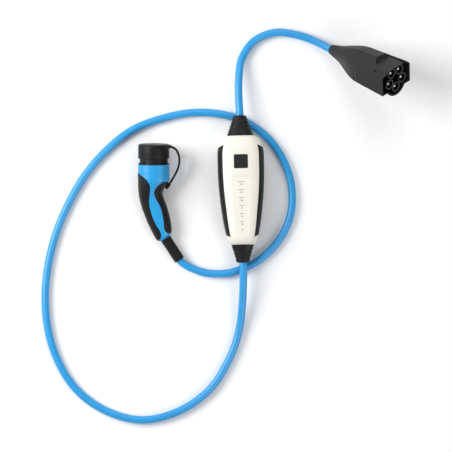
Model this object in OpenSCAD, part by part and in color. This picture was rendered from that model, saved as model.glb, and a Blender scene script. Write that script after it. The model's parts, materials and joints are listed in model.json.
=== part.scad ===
// Portable charger for electric cars: a control box in the middle of a cable, with a
// pistol-grip vehicle connector at one end and a five-pin plug at the other.
// It lies on a floor, box front up. The origin is the bottom centre of the control box,
// +X is to the right of the box, +Y towards its upper end and +Z up. Sizes are in mm.

/* [Control box] */
// Length of the cream body between the boots
body_len = 224; // [216:1:232]
// Greatest width, at the shoulders
body_w = 95; // [90:1:100]
// Width at the foot, above the lower corners
foot_w = 67; // [63:1:71]
// Depth from the flat back to the front
body_h = 66; // [63:1:70]
// Thickness of the shell walls
wall = 5; // [4.8:0.1:5.4]
// Thickness of the inlaid side grips
grip_t = 2; // [1.6:0.1:2.1]
// Width of a side grip seen from the front
grip_w = 10; // [9:0.5:11.5]
// Side of the square touch pad
pad_w = 28.5; // [24:0.5:32]
// Thickness of the touch pad
pad_t = 1.8; // [1.4:0.1:2.2]

/* [Box boots] */
// Length of the upper boot outside the body
top_boot_len = 42; // [39:1:44]
// Length of the lower boot outside the body
low_boot_len = 37; // [34:1:40]
// Width of the upper boot at the body
top_boot_w = 54; // [50:1:58]
// Width of the lower boot at the body
low_boot_w = 46; // [44:1:48]
// Diameter of a boot's tip
boot_tip_d = 26; // [24:0.5:27]
// Depth of a rib groove
rib_depth = 1; // [0.6:0.1:1.4]

/* [Cable] */
// Diameter of the cable
cord_d = 16; // [14:0.2:16.4]

/* [Vehicle connector] */
// Diameter of the collar behind the nose
collar_d = 65; // [62:0.5:68]
// Diameter of the round neck of the nose
neck_d = 58; // [56:0.5:59]
// Length of the nose in front of the collar
nose_len = 38.5; // [36:0.5:41]
// Outer diameter of the cap
cap_d = 64; // [62.8:0.2:66]
// Length of the cap
cap_len = 29.5; // [27:0.5:31]
// Bore of a power contact
power_bore_d = 6; // [5.6:0.1:6.4]
// Bore of a signal contact
signal_bore_d = 3; // [2.6:0.1:3.2]
// Thickness of the handle's rubber grips
handle_grip_t = 2.2; // [1.8:0.1:2.6]
// Outer diameter of the cable boot under the heel
heel_boot_d = 22; // [20.5:0.5:23]
// Length of the cable boot under the heel
heel_boot_len = 54; // [48:1:60]

/* [Supply plug] */
// Width of the plug across its side walls
plug_w = 84; // [81:1:87]
// Length of the straight front shell
plug_shell_len = 81; // [77:1:85]
// Length of the tapered rear cover
plug_cover_len = 75; // [72:1:79]
// Length of the ribbed rubber tail
plug_tail_len = 24; // [20:1:28]
// Diameter of the circle through the pins
pin_pcd = 39; // [38:0.2:39.2]
// Diameter of a pin
pin_d = 6; // [5:0.2:7]
// Bore of the round well about each pin
well_d = 18; // [17:0.2:18.2]

/* [Hidden] */
$fn = 48;

// Colours
cream = [0.95, 0.94, 0.89];
black = [0.13, 0.13, 0.14];
plug_grey = [0.24, 0.24, 0.24];
blue = [0.10, 0.52, 0.84];
silver = [0.78, 0.78, 0.80];
brass = [0.80, 0.68, 0.40];
board_green = [0.10, 0.36, 0.22];

// Clearances: between fitted pieces, round a cable in its bore, and past a cut surface
fit = 0.15;
cord_fit = 0.2;
over = 1;
cord_r = cord_d / 2;
bore_r = cord_r + cord_fit;

// Helpers
function mix(a, b, t) = a + (b - a) * t;
function squarish(v, n) = sign(v) * pow(abs(v), 2 / n);
function unit(v) = v / norm(v);
function rot_x(p, a) = [p.x, p.y * cos(a) - p.z * sin(a), p.y * sin(a) + p.z * cos(a)];
function rot_y(p, a) = [p.x * cos(a) + p.z * sin(a), p.y, -p.x * sin(a) + p.z * cos(a)];
function rot_z(p, a) = [p.x * cos(a) - p.y * sin(a), p.x * sin(a) + p.y * cos(a), p.z];
// One point of a smooth curve between b and c
function curve_point(a, b, c, d, t) =
    0.5 * (2 * b + (c - a) * t + (2 * a - 5 * b + 4 * c - d) * t * t
        + (3 * b - a - 3 * c + d) * t * t * t);
// A list of points, or of stations, with extra ones placed smoothly between them
function smoothed(list, steps) = let (n = len(list)) concat(
    [for (i = [0:n - 2], k = [0:steps - 1])
        curve_point(list[max(i - 1, 0)], list[i], list[i + 1], list[min(i + 2, n - 1)], k / steps)],
    [list[n - 1]]);
// Indices of a side wall between two rings of n points, and of the two ends
function tube_faces(rings, n) = concat(
    [[for (k = [n - 1:-1:0]) k]],
    [for (i = [0:rings - 2], k = [0:n - 1]) let (m = (k + 1) % n)
        each [[i * n + k, i * n + m, (i + 1) * n + m], [i * n + k, (i + 1) * n + m, (i + 1) * n + k]]],
    [[for (k = [0:n - 1]) (rings - 1) * n + k]]);

// A loft through convex rings
module loft(rings) {
    n = len(rings[0]);
    for (i = [0:len(rings) - 2])
        hull() polyhedron(concat(rings[i], rings[i + 1]), tube_faces(2, n));
}

// A rounded rectangle about the origin, in plan
module rounded_square(size, r) {
    square([size.x - 2 * r, size.y], center = true);
    square([size.x, size.y - 2 * r], center = true);
    for (i = [-1, 1], j = [-1, 1])
        translate([i * (size.x / 2 - r), j * (size.y / 2 - r)]) circle(r);
}

// Stands children that were drawn along Z along Y instead
module along_y() {
    rotate([-90, 0, 0]) children();
}

// A plain ring along Z
module ring(outer_r, inner_r, length) {
    difference() {
        cylinder(r = outer_r, h = length);
        translate([0, 0, -over]) cylinder(r = inner_r, h = length + 2 * over);
    }
}

// Control box: a squarish oval section that tapers to the foot and rounds off at both ends
box_sides = 28;
box_steps = 14;
hollow_sides = 20;
hollow_steps = 10;
post_sides = 12;
box_square = 3;
back_cut = 1.2;
half_h = (body_h + back_cut) / 2;
axis_z = body_h - half_h;
y_top = (body_len + low_boot_len - top_boot_len) / 2;
y_low = y_top - body_len;
shoulder_y = y_top - 61;
foot_y = y_low + 21;
top_round = 40;
low_round = 24;
top_boot_h = 42;
low_boot_h = 38;

// How far a corner has drawn in at a distance past its start
function rounding(past, length) = past <= 0 ? 0 : 1 - sqrt(max(0, 1 - pow(past / length, 2)));
function taper_half_w(y) = body_w / 2
    - (body_w - foot_w) / 2 * pow(max(0, shoulder_y - y) / (shoulder_y - foot_y), 2);
function top_part(y) = rounding(y - (y_top - top_round), top_round);
function low_part(y) = rounding(y_low + low_round - y, low_round);
function box_half_w(y) = taper_half_w(y)
    - (body_w - top_boot_w) / 2 * top_part(y)
    - (taper_half_w(y_low) - low_boot_w / 2) * low_part(y);
function box_half_h(y) = half_h - (half_h - top_boot_h / 2) * top_part(y)
    - (half_h - low_boot_h / 2) * low_part(y);
function oval(half_x, y, half_z, sides, square) = [for (k = [0:sides - 1])
    let (a = 360 * (k + 0.5) / sides)
    [half_x * squarish(cos(a), square), y, axis_z + half_z * squarish(sin(a), square)]];
// A ring of the body at y, drawn in by inset, laid at the height along Y that at gives
function box_ring(y, inset, sides, at) =
    oval(box_half_w(y) - inset, at, box_half_h(y) - inset, sides, box_square);
// Rings lie closer together towards the rounded ends
function box_station(i, steps) = mix(y_low, y_top, (1 - cos(180 * i / steps)) / 2);

// The body's form, drawn in by inset and run out past both ends by past
module box_form(inset, past = 0, sides = box_sides, steps = box_steps) {
    middle = [for (i = [0:steps]) let (y = box_station(i, steps)) box_ring(y, inset, sides, y)];
    low = past > 0 ? [box_ring(y_low, inset, sides, y_low - past)] : [];
    top = past > 0 ? [box_ring(y_top, inset, sides, y_top + past)] : [];
    loft(concat(low, middle, top));
}
// The hollow inside the shells
module box_hollow() {
    box_form(wall, over, hollow_sides, hollow_steps);
}

// Everything of the box above or below a height
module above(z) {
    translate([-body_w, -body_len, z]) cube([2 * body_w, 2 * body_len, body_h]);
}
module below(z) {
    translate([-body_w, -body_len, 0]) cube([2 * body_w, 2 * body_len, z]);
}

// A side grip's outline seen from the front, grown by gap, as a prism through the body
grip_top_y = y_top - 19;
grip_low_y = y_low + 15.5;
grip_slant = 0.42;
grip_steps = 8;
// It narrows by grip_taper over grip_end at its lower end
grip_taper = 2.4;
grip_end = 55;
function grip_width(y) = grip_w - grip_taper * max(0, 1 - (y - grip_low_y) / grip_end);
module grip_prism(side, gap) {
    low = grip_low_y - gap;
    high = grip_top_y + gap;
    edge = [for (i = [0:grip_steps]) let (y = mix(low, high, i / grip_steps))
        [box_half_w(y) - grip_width(y) - gap, y]];
    reach = body_w;
    top_corner = [reach, high - grip_slant * (reach - edge[grip_steps].x)];
    low_corner = [reach, low + grip_slant * (reach - edge[0].x)];
    mirror([side < 0 ? 1 : 0, 0, 0])
        linear_extrude(2 * body_h) polygon(concat(edge, [top_corner, low_corner]));
}
module grip_recess(side) {
    difference() {
        grip_prism(side, fit);
        box_form(grip_t + fit);
    }
}
module side_grip(side) {
    color(black) intersection() {
        difference() {
            box_form(0);
            box_form(grip_t, over);
        }
        grip_prism(side, 0);
    }
}
module left_grip() {
    side_grip(-1);
}
module right_grip() {
    side_grip(1);
}

// Touch pad in its pocket, and the shallow flat panel with the scale under it
pad_y = y_top - 53.5;
pad_top = body_h + 0.3;
pad_corner = 2.5;
panel_top_y = y_top - 84;
panel_low_y = y_low + 15;
panel_depth = 0.8;
panel_top_w = 44;
panel_low_w = 26;
module touch_pad() {
    color(black) translate([0, pad_y, pad_top - pad_t]) linear_extrude(pad_t)
        rounded_square([pad_w, pad_w], pad_corner);
}
module pad_pocket() {
    translate([0, pad_y, pad_top - pad_t - 0.05]) linear_extrude(pad_t + over)
        rounded_square([pad_w + 2 * fit, pad_w + 2 * fit], pad_corner + fit);
}
module scale_panel() {
    translate([0, 0, body_h - panel_depth]) linear_extrude(2 * over) polygon([
        [-panel_top_w / 2, panel_top_y], [panel_top_w / 2, panel_top_y],
        [panel_low_w / 2, panel_low_y], [-panel_low_w / 2, panel_low_y]]);
}

// Boards inside the box, and the posts that carry them
board_t = 1.6;
board_z = 20;
board_top = board_z + board_t;
board_top_y = y_top - 33;
board_low_y = y_low + 32;
board_top_half = body_w / 2 - 12;
board_low_half = foot_w / 2 - 9;
board_post_r = 3.6;
board_posts = [[-board_top_half + 6, board_top_y - 6], [board_top_half - 6, board_top_y - 6],
    [-board_low_half + 5, board_low_y + 6], [board_low_half - 5, board_low_y + 6]];
strip_w = 18;
strip_t = 1.2;
strip_z = body_h - wall - 4;
strip_top_y = pad_y + 12;
strip_low_y = panel_low_y + 4;
strip_posts = [for (y = [strip_low_y + 5, (strip_low_y + strip_top_y) / 2, strip_top_y - 5])
    [strip_w / 2 - 3.2, y]];
scale_count = 7;
scale_top_y = panel_top_y - 11.3;
scale_pitch = 16.4;

// Shell screws stand in deep pockets in the back
screw_post_r = 5;
shell_posts = [for (s = [-1, 1], y = [y_top - 30, (y_top + y_low) / 2 - 6, y_low + 30])
    [s * (box_half_w(y) - grip_w - screw_post_r - 0.5), y]];
screw_head_r = 3.2;
screw_r = 1.6;
head_depth = 10;
screw_tip_z = axis_z + 12;

module front_shell() {
    color(cream) {
        difference() {
            intersection() {
                box_form(0);
                above(axis_z + fit / 2);
            }
            difference() {
                box_hollow();
                for (p = shell_posts) translate([p.x, p.y, axis_z])
                    cylinder(r = screw_post_r, h = body_h, $fn = post_sides);
            }
            grip_recess(1);
            grip_recess(-1);
            pad_pocket();
            scale_panel();
            for (p = shell_posts) translate([p.x, p.y, axis_z - over])
                cylinder(r = screw_r + cord_fit, h = screw_tip_z - axis_z + 2 * over, $fn = post_sides);
        }
        for (p = strip_posts) translate([p.x, p.y, strip_z + strip_t])
            cylinder(r = 3, h = wall, $fn = post_sides);
    }
}

module back_shell() {
    color(cream) {
        difference() {
            intersection() {
                box_form(0);
                below(axis_z - fit / 2);
            }
            difference() {
                box_hollow();
                for (p = shell_posts) translate([p.x, p.y, 0])
                    cylinder(r = screw_post_r, h = axis_z, $fn = post_sides);
            }
            grip_recess(1);
            grip_recess(-1);
            seal_band(fit);
            for (p = shell_posts) translate([p.x, p.y, -over]) {
                cylinder(r = screw_head_r + cord_fit, h = head_depth + over, $fn = post_sides);
                cylinder(r = screw_r + cord_fit, h = axis_z + 2 * over, $fn = post_sides);
            }
        }
        for (p = board_posts) translate([p.x, p.y, wall / 2]) difference() {
            cylinder(r = board_post_r, h = board_z - wall / 2, $fn = post_sides);
            translate([0, 0, board_z - wall / 2 - 8])
                cylinder(r = screw_r + cord_fit, h = 9, $fn = post_sides);
        }
    }
}

// Seal in a groove of the back shell's edge, along both sides
seal_out = 3.1;
seal_in = 4.2;
seal_h = 1.6;
module seal_band(gap) {
    intersection() {
        difference() {
            box_form(seal_out - gap, 0, hollow_sides, hollow_steps);
            box_form(seal_in + gap, over, hollow_sides, hollow_steps);
        }
        translate([-body_w, -body_len, axis_z - seal_h - gap])
            cube([2 * body_w, 2 * body_len, seal_h + gap]);
    }
}
module shell_seal() {
    color(black) seal_band(0);
}

// A pan-head screw that points along +Z, with its head below and a hexagon socket
module pan_screw(head_r, head_h, shank_r, length) {
    difference() {
        union() {
            cylinder(r = head_r, h = head_h);
            cylinder(r = shank_r, h = head_h + length);
        }
        translate([0, 0, -over]) cylinder(r = head_r / 2, h = over + head_h / 2, $fn = 6);
    }
}
module shell_screws() {
    head_h = 2.6;
    for (p = shell_posts) color(silver) translate([p.x, p.y, head_depth - head_h - fit])
        pan_screw(screw_head_r, head_h, screw_r, screw_tip_z - head_depth);
}
module main_board() {
    color(board_green) translate([0, 0, board_z]) difference() {
        linear_extrude(board_t) polygon([
            [-board_top_half, board_top_y], [board_top_half, board_top_y],
            [board_low_half, board_low_y], [-board_low_half, board_low_y]]);
        for (p = board_posts) translate([p.x, p.y, -over])
            cylinder(r = screw_r + fit, h = board_t + 2 * over);
        for (p = shell_posts) translate([p.x, p.y, -over])
            cylinder(r = screw_post_r + 1, h = board_t + 2 * over);
    }
}
board_screw_r = 2.8;
board_screw_h = 2;
board_screw_len = 7;
module board_screws() {
    for (p = board_posts) color(silver) translate([p.x, p.y, board_top]) mirror([0, 0, 1])
        translate([0, 0, -board_screw_h - fit])
            pan_screw(board_screw_r, board_screw_h, screw_r, board_screw_len);
}

// Electronics on the main board
relay = [16, 29, 25];
relay_y = y_top - 84;
relay_gap = [20, 32];
module power_relays() {
    for (i = [-1, 1], j = [-1, 1]) color([0.16, 0.22, 0.42])
        translate([i * relay_gap.x / 2 - relay.x / 2, relay_y + j * relay_gap.y / 2 - relay.y / 2, board_top])
            cube(relay);
}
sensor_y = relay_y - 65;
module current_sensor() {
    color([0.2, 0.2, 0.22]) translate([0, sensor_y, board_top]) ring(17, 9, 13);
}
terminal = [8, 14, 15];
terminal_pitch = 9;
// A row of separate screw terminals, each with a wire entry facing the nearer end
module terminal_row(y, count, entry) {
    for (i = [0:count - 1]) color(brass)
        translate([(i - (count - 1) / 2) * terminal_pitch, y, board_top]) difference() {
            translate([-terminal.x / 2, -terminal.y / 2, 0]) cube(terminal);
            translate([0, entry * (terminal.y / 2 + over), 6]) rotate([entry * 90, 0, 0])
                cylinder(r = 2.4, h = 10);
            translate([0, 0, terminal.z - 4]) cylinder(r = 2.2, h = 5);
        }
}
mains_y = board_top_y - 12;
vehicle_y = board_low_y + 18;
module mains_terminals() {
    terminal_row(mains_y, 5, 1);
}
module vehicle_terminals() {
    terminal_row(vehicle_y, 4, -1);
}
supply = [24, 12, 18];
module power_supply() {
    color([0.75, 0.72, 0.30]) translate([-supply.x / 2, sensor_y + 20, board_top]) cube(supply);
}
module indicator_board() {
    color(board_green) translate([-strip_w / 2, strip_low_y, strip_z])
        cube([strip_w, strip_top_y - strip_low_y, strip_t]);
}
lamp = [3, 2.5, 1.2];
module indicator_lights() {
    for (i = [0:scale_count - 1]) color("white")
        translate([-lamp.x / 2, scale_top_y - i * scale_pitch - lamp.y / 2, strip_z + strip_t]) cube(lamp);
}

// Boots: ribbed rubber cones over the cable, with a spigot in the body's open end
boot_sides = 20;
spigot_len = 12;
boot_grooves = 3;
groove_w = 2.2;
// Stations of a boot from its base to its tip, as [share of length, depth of groove]
function boot_stations(length) = concat([[0, 0], [0.28, 0]],
    [for (i = [0:boot_grooves - 1]) let (s = 0.36 + 0.19 * i, g = groove_w / length)
        each [[s - g, 0], [s - g / 2, rib_depth], [s + g / 2, rib_depth], [s + g, 0]]],
    [[0.94, 0], [1, 1.6]]);
// A boot whose base is at y = base and whose tip points along way
module box_boot(base, way, length, base_w, base_h) {
    rings = [for (s = boot_stations(length - fit))
        oval(mix(base_w, boot_tip_d, s[0]) / 2 - s[1], base + way * (fit + s[0] * (length - fit)),
            mix(base_h, boot_tip_d, s[0]) / 2 - s[1], boot_sides, mix(box_square, 2, sqrt(s[0])))];
    spigot = [for (d = [-spigot_len, fit + 0.5])
        oval(base_w / 2 - wall - fit, base + way * d, base_h / 2 - wall - fit, boot_sides, box_square)];
    color(black) difference() {
        union() {
            loft(rings);
            loft(spigot);
        }
        translate([0, base, axis_z]) rotate([-90 * way, 0, 0]) translate([0, 0, -2 * spigot_len])
            cylinder(r = bore_r, h = length + 3 * spigot_len, $fn = boot_sides);
    }
}
module top_boot() {
    box_boot(y_top, 1, top_boot_len, top_boot_w, top_boot_h);
}
module bottom_boot() {
    box_boot(y_low, -1, low_boot_len, low_boot_w, low_boot_h);
}

// Clamps that hold the cable just inside the box, seated in the back shell
clamp_len = 9;
clamp_wall = 3;
clamp_gap = 1;
cord_in = spigot_len + clamp_gap + clamp_len;
clamp_foot_w = 15;
clamp_clear = 1.5;
module box_clamp(y) {
    drop = min(box_half_h(y - clamp_len / 2), box_half_h(y + clamp_len / 2)) - wall - clamp_clear;
    color(plug_grey) translate([0, y, axis_z]) difference() {
        union() {
            translate([0, -clamp_len / 2, 0]) along_y() cylinder(r = bore_r + clamp_wall, h = clamp_len);
            translate([-clamp_foot_w / 2, -clamp_len / 2, -drop]) cube([clamp_foot_w, clamp_len, drop]);
        }
        translate([0, -clamp_len, 0]) along_y() cylinder(r = bore_r, h = 2 * clamp_len);
    }
}
module top_clamp() {
    box_clamp(y_top - spigot_len - clamp_gap / 2 - clamp_len / 2);
}
module bottom_clamp() {
    box_clamp(y_low + spigot_len + clamp_gap / 2 + clamp_len / 2);
}

// Vehicle connector, drawn with its nose along +Y from the collar's face, its plane level
grip_sides = 20;
handle_square = 2.25;
handle_wall = 2.6;
collar_r = collar_d / 2;
// Stations down the handle: [x, y, tilt of the section, half width, half thickness]
handle_stations = [
    [0, 0, 0, collar_r, collar_r], [0, -17, 0, collar_r, collar_r],
    [-0.4, -33, 0, collar_r - 0.5, collar_r - 0.5], [-4.8, -51, 5, 27, 27.5],
    [-5.9, -65, 11, 24.1, 23.5], [-1.8, -80.5, 18, 24.4, 21.5], [4.2, -97, 22.5, 24.6, 20.5],
    [10.8, -116, 24.5, 23.5, 20], [17, -134.5, 26, 20.9, 19], [20.8, -147, 29, 17.8, 17],
    [23.4, -152.6, 33, 13, 13]];
heel = handle_stations[len(handle_stations) - 1];
heel_turn = heel[2] - 90;
handle_rings_n = 2;
function handle_ring(s, inset) = [for (k = [0:grip_sides - 1])
    let (a = 360 * (k + 0.5) / grip_sides, u = (s[3] - inset) * squarish(cos(a), handle_square))
    [s[0] + u * cos(s[2]), s[1] + u * sin(s[2]), (s[4] - inset) * squarish(sin(a), handle_square)]];
handle_path = smoothed(handle_stations, handle_rings_n);
module handle_form(inset) {
    loft([for (s = handle_path) handle_ring(s, inset)]);
}
// The hollow stops short of the heel and runs out of the collar
module handle_hollow() {
    inset = handle_grip_t + handle_wall;
    rings = [for (i = [0:len(handle_stations) - 2]) handle_ring(handle_stations[i], inset)];
    loft(concat([[for (p = rings[0]) [p.x, over, p.z]]], rings));
}
// Edges between the blue shell and the two rubber grips, seen from the side
back_edge = [[-45, -8], [-32.5, -17], [-18, -27], [-9.2, -38], [-7.2, -49], [-9, -69], [-9, -79],
    [-7.6, -90], [-2, -109], [6, -126], [12.8, -137], [15, -146], [13, -154], [8, -168]];
finger_edge = [[50, -33], [28.6, -35], [18.4, -37], [9, -42.6], [2.6, -52], [1.8, -60], [4.2, -68],
    [10.5, -79], [16, -91.5], [19, -105.5], [21.2, -120], [22, -131], [26, -138.7], [33.3, -141.5],
    [50, -141]];
edge_steps = 2;
grip_bed_gap = 0.4;
module back_region() {
    polygon(concat(smoothed(back_edge, edge_steps), [[-60, -168], [-60, -8]]));
}
module finger_region() {
    polygon(concat(smoothed(finger_edge, edge_steps), [[60, -141], [60, -33]]));
}
module region_prism() {
    translate([0, 0, -collar_d]) linear_extrude(2 * collar_d) children();
}
// What a grip takes out of the blue shell
module grip_bed() {
    difference() {
        region_prism() offset(delta = fit) children();
        handle_form(handle_grip_t + grip_bed_gap);
    }
}
module handle_grip() {
    intersection() {
        difference() {
            handle_form(0);
            handle_form(handle_grip_t);
        }
        region_prism() children();
    }
}

// Where the connector lies: turned a little in plan and tipped until its heel nears the floor
connector_at = [-179, 55];
connector_turn = -1.3;
connector_tip = 7;
function connector_lowest() = min([for (s = handle_path, p = handle_ring(s, 0)) rot_x(p, connector_tip).z]);
connector_z = -connector_lowest();
function connector_point(p) =
    rot_z(rot_x(p, connector_tip), connector_turn) + [connector_at.x, connector_at.y, connector_z];
module place_connector() {
    translate([connector_at.x, connector_at.y, connector_z])
        rotate([0, 0, connector_turn]) rotate([connector_tip, 0, 0]) children();
}
// Points along the cable's own line at the heel, and solids drawn along it
function heel_point(d) = connector_point([heel[0] + d * cos(heel_turn), heel[1] + d * sin(heel_turn), 0]);
module along_heel() {
    translate([heel[0], heel[1], 0]) rotate([0, 0, heel_turn]) rotate([0, 90, 0]) children();
}

module handle_shell() {
    color(blue) place_connector() difference() {
        handle_form(0);
        handle_hollow();
        grip_bed() back_region();
        grip_bed() finger_region();
        along_heel() translate([0, 0, -24]) cylinder(r = bore_r, h = 40, $fn = grip_sides);
    }
}
module back_grip() {
    color(black) place_connector() handle_grip() back_region();
}
module finger_grip() {
    color(black) place_connector() handle_grip() finger_region();
}

// Nose: a round neck, then a block with one flat side, with a stepped hole for each contact
neck_r = neck_d / 2;
neck_len = 14.5;
nose_r = neck_r - 1.2;
nose_flat = nose_r - 4.5;
root_len = 14;
root_r = collar_r - handle_grip_t - handle_wall - 1.2;
power_r = power_bore_d / 2 + 1.4;
signal_r = signal_bore_d / 2 + 1.2;
contact_recess = 4;
contact_tail = 6;
// Contact places as [towards the flat side, sideways]
power_places = [[0, 0], [0, 15.5], [0, -15.5], [-14, 8.2], [-14, -8.2]];
signal_places = [[12.5, 7.5], [12.5, -7.5]];
module at_places(places) {
    for (p = places) translate([-p.x, 0, p.y]) children();
}
module contact_holes(gap) {
    length = nose_len + 3 * root_len;
    translate([0, -2 * root_len, 0]) {
        at_places(power_places) along_y() cylinder(r = power_r + gap, h = length);
        at_places(signal_places) along_y() cylinder(r = signal_r + gap, h = length);
    }
}
module nose() {
    color(black) place_connector() difference() {
        union() {
            translate([0, -root_len, 0]) along_y() cylinder(r = root_r, h = root_len + over);
            along_y() cylinder(r = neck_r, h = neck_len);
            intersection() {
                along_y() cylinder(r = nose_r, h = nose_len);
                translate([-nose_flat, 0, -neck_d]) cube([2 * neck_d, nose_len, 2 * neck_d]);
            }
        }
        contact_holes(fit);
    }
}
seal_r = collar_r - 1;
seal_len = 2.2;
module nose_seal() {
    color(black) place_connector() translate([0, fit, 0]) along_y() ring(seal_r, neck_r + fit, seal_len);
}
module contact_sleeves(places, outer_r, bore_d, depth) {
    at_places(places) color(silver) translate([0, -root_len - contact_tail, 0]) along_y() difference() {
        cylinder(r = outer_r, h = root_len + contact_tail + nose_len - contact_recess);
        translate([0, 0, root_len + contact_tail + nose_len - contact_recess - depth])
            cylinder(r = bore_d / 2, h = depth + over);
    }
}
module power_contacts() {
    place_connector() contact_sleeves(power_places, power_r, power_bore_d, 28);
}
module signal_contacts() {
    place_connector() contact_sleeves(signal_places, signal_r, signal_bore_d, 24);
}
module contact_retainer() {
    color(plug_grey) place_connector() difference() {
        translate([0, -root_len - 4, 0]) along_y() cylinder(r = root_r - 1, h = 4 - fit);
        contact_holes(fit);
    }
}

// Cap: a cup over the nose, with an ear for its tether
cap_start = nose_len + 3 - cap_len;
cap_end = nose_len + 3;
cap_bore_r = neck_r + 0.3;
cap_floor = nose_len + 0.5;
cap_r = cap_d / 2;
cap_bevel = 1.6;
cap_corner = 4;
ear = [6, 7, 10];
ear_x = cap_r + 3;
ear_y = cap_end - 1.5 - ear.y;
module cap() {
    color(black) place_connector() {
        along_y() rotate_extrude() difference() {
            union() {
                polygon([[0, cap_start], [cap_r - cap_bevel, cap_start], [cap_r, cap_start + cap_bevel],
                    [cap_r, cap_end - cap_corner], [cap_r - cap_corner, cap_end - cap_corner],
                    [cap_r - cap_corner, cap_end], [0, cap_end]]);
                translate([cap_r - cap_corner, cap_end - cap_corner]) intersection() {
                    circle(cap_corner);
                    square(cap_corner);
                }
            }
            translate([-over, cap_start - over]) square([cap_bore_r + over, cap_floor - cap_start + over]);
        }
        difference() {
            translate([ear_x - ear.x, ear_y, -ear.z / 2]) cube(ear);
            translate([0, cap_start - over, 0]) along_y()
                cylinder(r = cap_bore_r, h = cap_floor - cap_start + over);
        }
    }
}

// Tether: a flat rubber strap from the cap's ear to the finger guard
tether_t = 4.4;
tether_w = 9;
tether_sides = 8;
tether_start = [ear_x + fit, ear_y + ear.y / 2];
tether_route = [tether_start, [45.5, 30.5], [51.8, 17.5], [52.6, 4], [49.5, -9], [43.8, -21.5], [37.8, -32],
    [31.3, -41.2]];
function tether_ring(p, way) = [for (k = [0:tether_sides - 1]) let (a = 360 * (k + 0.5) / tether_sides,
    u = tether_t / 2 * squarish(cos(a), 4))
    [p.x - u * way.y, p.y + u * way.x, -tether_w / 2 * squarish(sin(a), 4)]];
function ways(list) = let (n = len(list))
    [for (i = [0:n - 1]) unit(list[min(i + 1, n - 1)] - list[max(i - 1, 0)])];
module cap_tether() {
    path = smoothed(tether_route, 2);
    way = concat([[1, 0]], [for (i = [1:len(path) - 1]) ways(path)[i]]);
    color(black) place_connector() polyhedron(
        [for (i = [0:len(path) - 1]) each tether_ring(path[i], way[i])],
        tube_faces(len(path), tether_sides));
}

// Boot and clamp on the cable at the heel
module connector_boot() {
    r = heel_boot_d / 2;
    color(black) place_connector() along_heel() translate([0, 0, fit]) rotate_extrude() difference() {
        union() {
            square([r, heel_boot_len - 3]);
            translate([0, heel_boot_len - 3]) square([r - 1.2, 3]);
        }
        translate([-over, -over]) square([bore_r + over, heel_boot_len + 2 * over]);
    }
}
heel_plate = 9;
module connector_clamp() {
    color(plug_grey) place_connector() along_heel() translate([0, 0, -heel_plate - 6])
        ring(bore_r + 1.8, bore_r, 5);
}

// Supply plug, drawn with its pins along +Z from its face: X across, Y towards its keyed top
plug_half_w = plug_w / 2;
plug_top = 34.5;
plug_top_x = 11;
plug_rib_x = 26;
plug_rib_y = 22;
plug_side_top = 18.3;
plug_side_low = -19;
plug_low = -24;
plug_foot_w = 11;
lobe_y = -10.5;
lobe_r = 28.5;
plug_wall = 3;
well_depth = 26;
plug_floor = 6;
plug_len = plug_shell_len + plug_cover_len + plug_tail_len;
tail_r = 15;
tail_tip_r = 10;
tail_groove = 0.9;
pin_count = 5;
pin_length = 46;
pin_recess = 3;
module plug_prism(inset, from, to) {
    w = plug_half_w - inset;
    translate([0, 0, from]) {
        linear_extrude(to - from) polygon([
            [-w, plug_side_top - 0.8 * inset], [0.44 * inset - plug_rib_x, plug_rib_y - 0.93 * inset],
            [inset / 3 - plug_top_x, plug_top - inset], [plug_top_x - inset / 3, plug_top - inset],
            [plug_rib_x - 0.44 * inset, plug_rib_y - 0.93 * inset], [w, plug_side_top - 0.8 * inset],
            [w, plug_side_low + inset / 2], [w - plug_foot_w, plug_low + inset],
            [plug_foot_w - w, plug_low + inset], [-w, plug_side_low + inset / 2]]);
        translate([0, lobe_y, 0]) cylinder(r = lobe_r - inset, h = to - from);
    }
}
// Distance from the plug's axis to its outline in a direction: its bevelled body or the rib on top
bevel_turn = atan2(plug_half_w - plug_rib_x, plug_rib_y - plug_side_top);
bevel_reach = plug_rib_x * cos(bevel_turn) + plug_rib_y * sin(bevel_turn);
rib_turn = atan2(plug_rib_x - plug_top_x, plug_top - plug_rib_y);
rib_reach = plug_rib_x * cos(rib_turn) + plug_rib_y * sin(rib_turn);
function wall_reach(a, turn, d) = cos(a - turn) > 0.01 ? d / cos(a - turn) : 1000;
function lobe_reach(a) = let (b = lobe_y * sin(a), c = lobe_y * lobe_y - lobe_r * lobe_r)
    b + sqrt(b * b - c);
function pair_reach(a, turn, d) = min(wall_reach(a, turn, d), wall_reach(a, 180 - turn, d));
function outline_reach(a) = max(lobe_reach(a), min(pair_reach(a, 0, plug_half_w),
    wall_reach(a, 90, plug_top), wall_reach(a, 270, -plug_low),
    max(pair_reach(a, bevel_turn, bevel_reach), pair_reach(a, rib_turn, rib_reach))));
cover_sides = 32;
cover_steps = 6;
// How far the rear cover has drawn in at a share t of its length: full on the keyed side, waisted opposite
function cover_drawn(t, a) = mix(t * t * (3 - 2 * t), t * t, (1 + sin(a)) / 2);
// Directions of the outline's upper corners, and the one of them that a direction lies close to
corner_turns = [for (p = [[plug_half_w, plug_side_top], [plug_rib_x, plug_rib_y], [plug_top_x, plug_top]])
    each [atan2(p.y, p.x), 180 - atan2(p.y, p.x)]];
function at_corner(a) = let (near = [for (c = corner_turns) if (abs(a - c) < 180 / cover_sides) c])
    len(near) > 0 ? near[0] : a;
// The rear cover's ring at a share t of its length, drawn in by inset
function cover_ring(t, inset) = [for (k = [0:cover_sides - 1]) let (a = at_corner(360 * k / cover_sides),
    r = mix(outline_reach(a), tail_r, cover_drawn(t, a)) - inset)
    [r * cos(a), r * sin(a), -plug_shell_len - fit - t * (plug_cover_len - fit)]];

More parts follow.
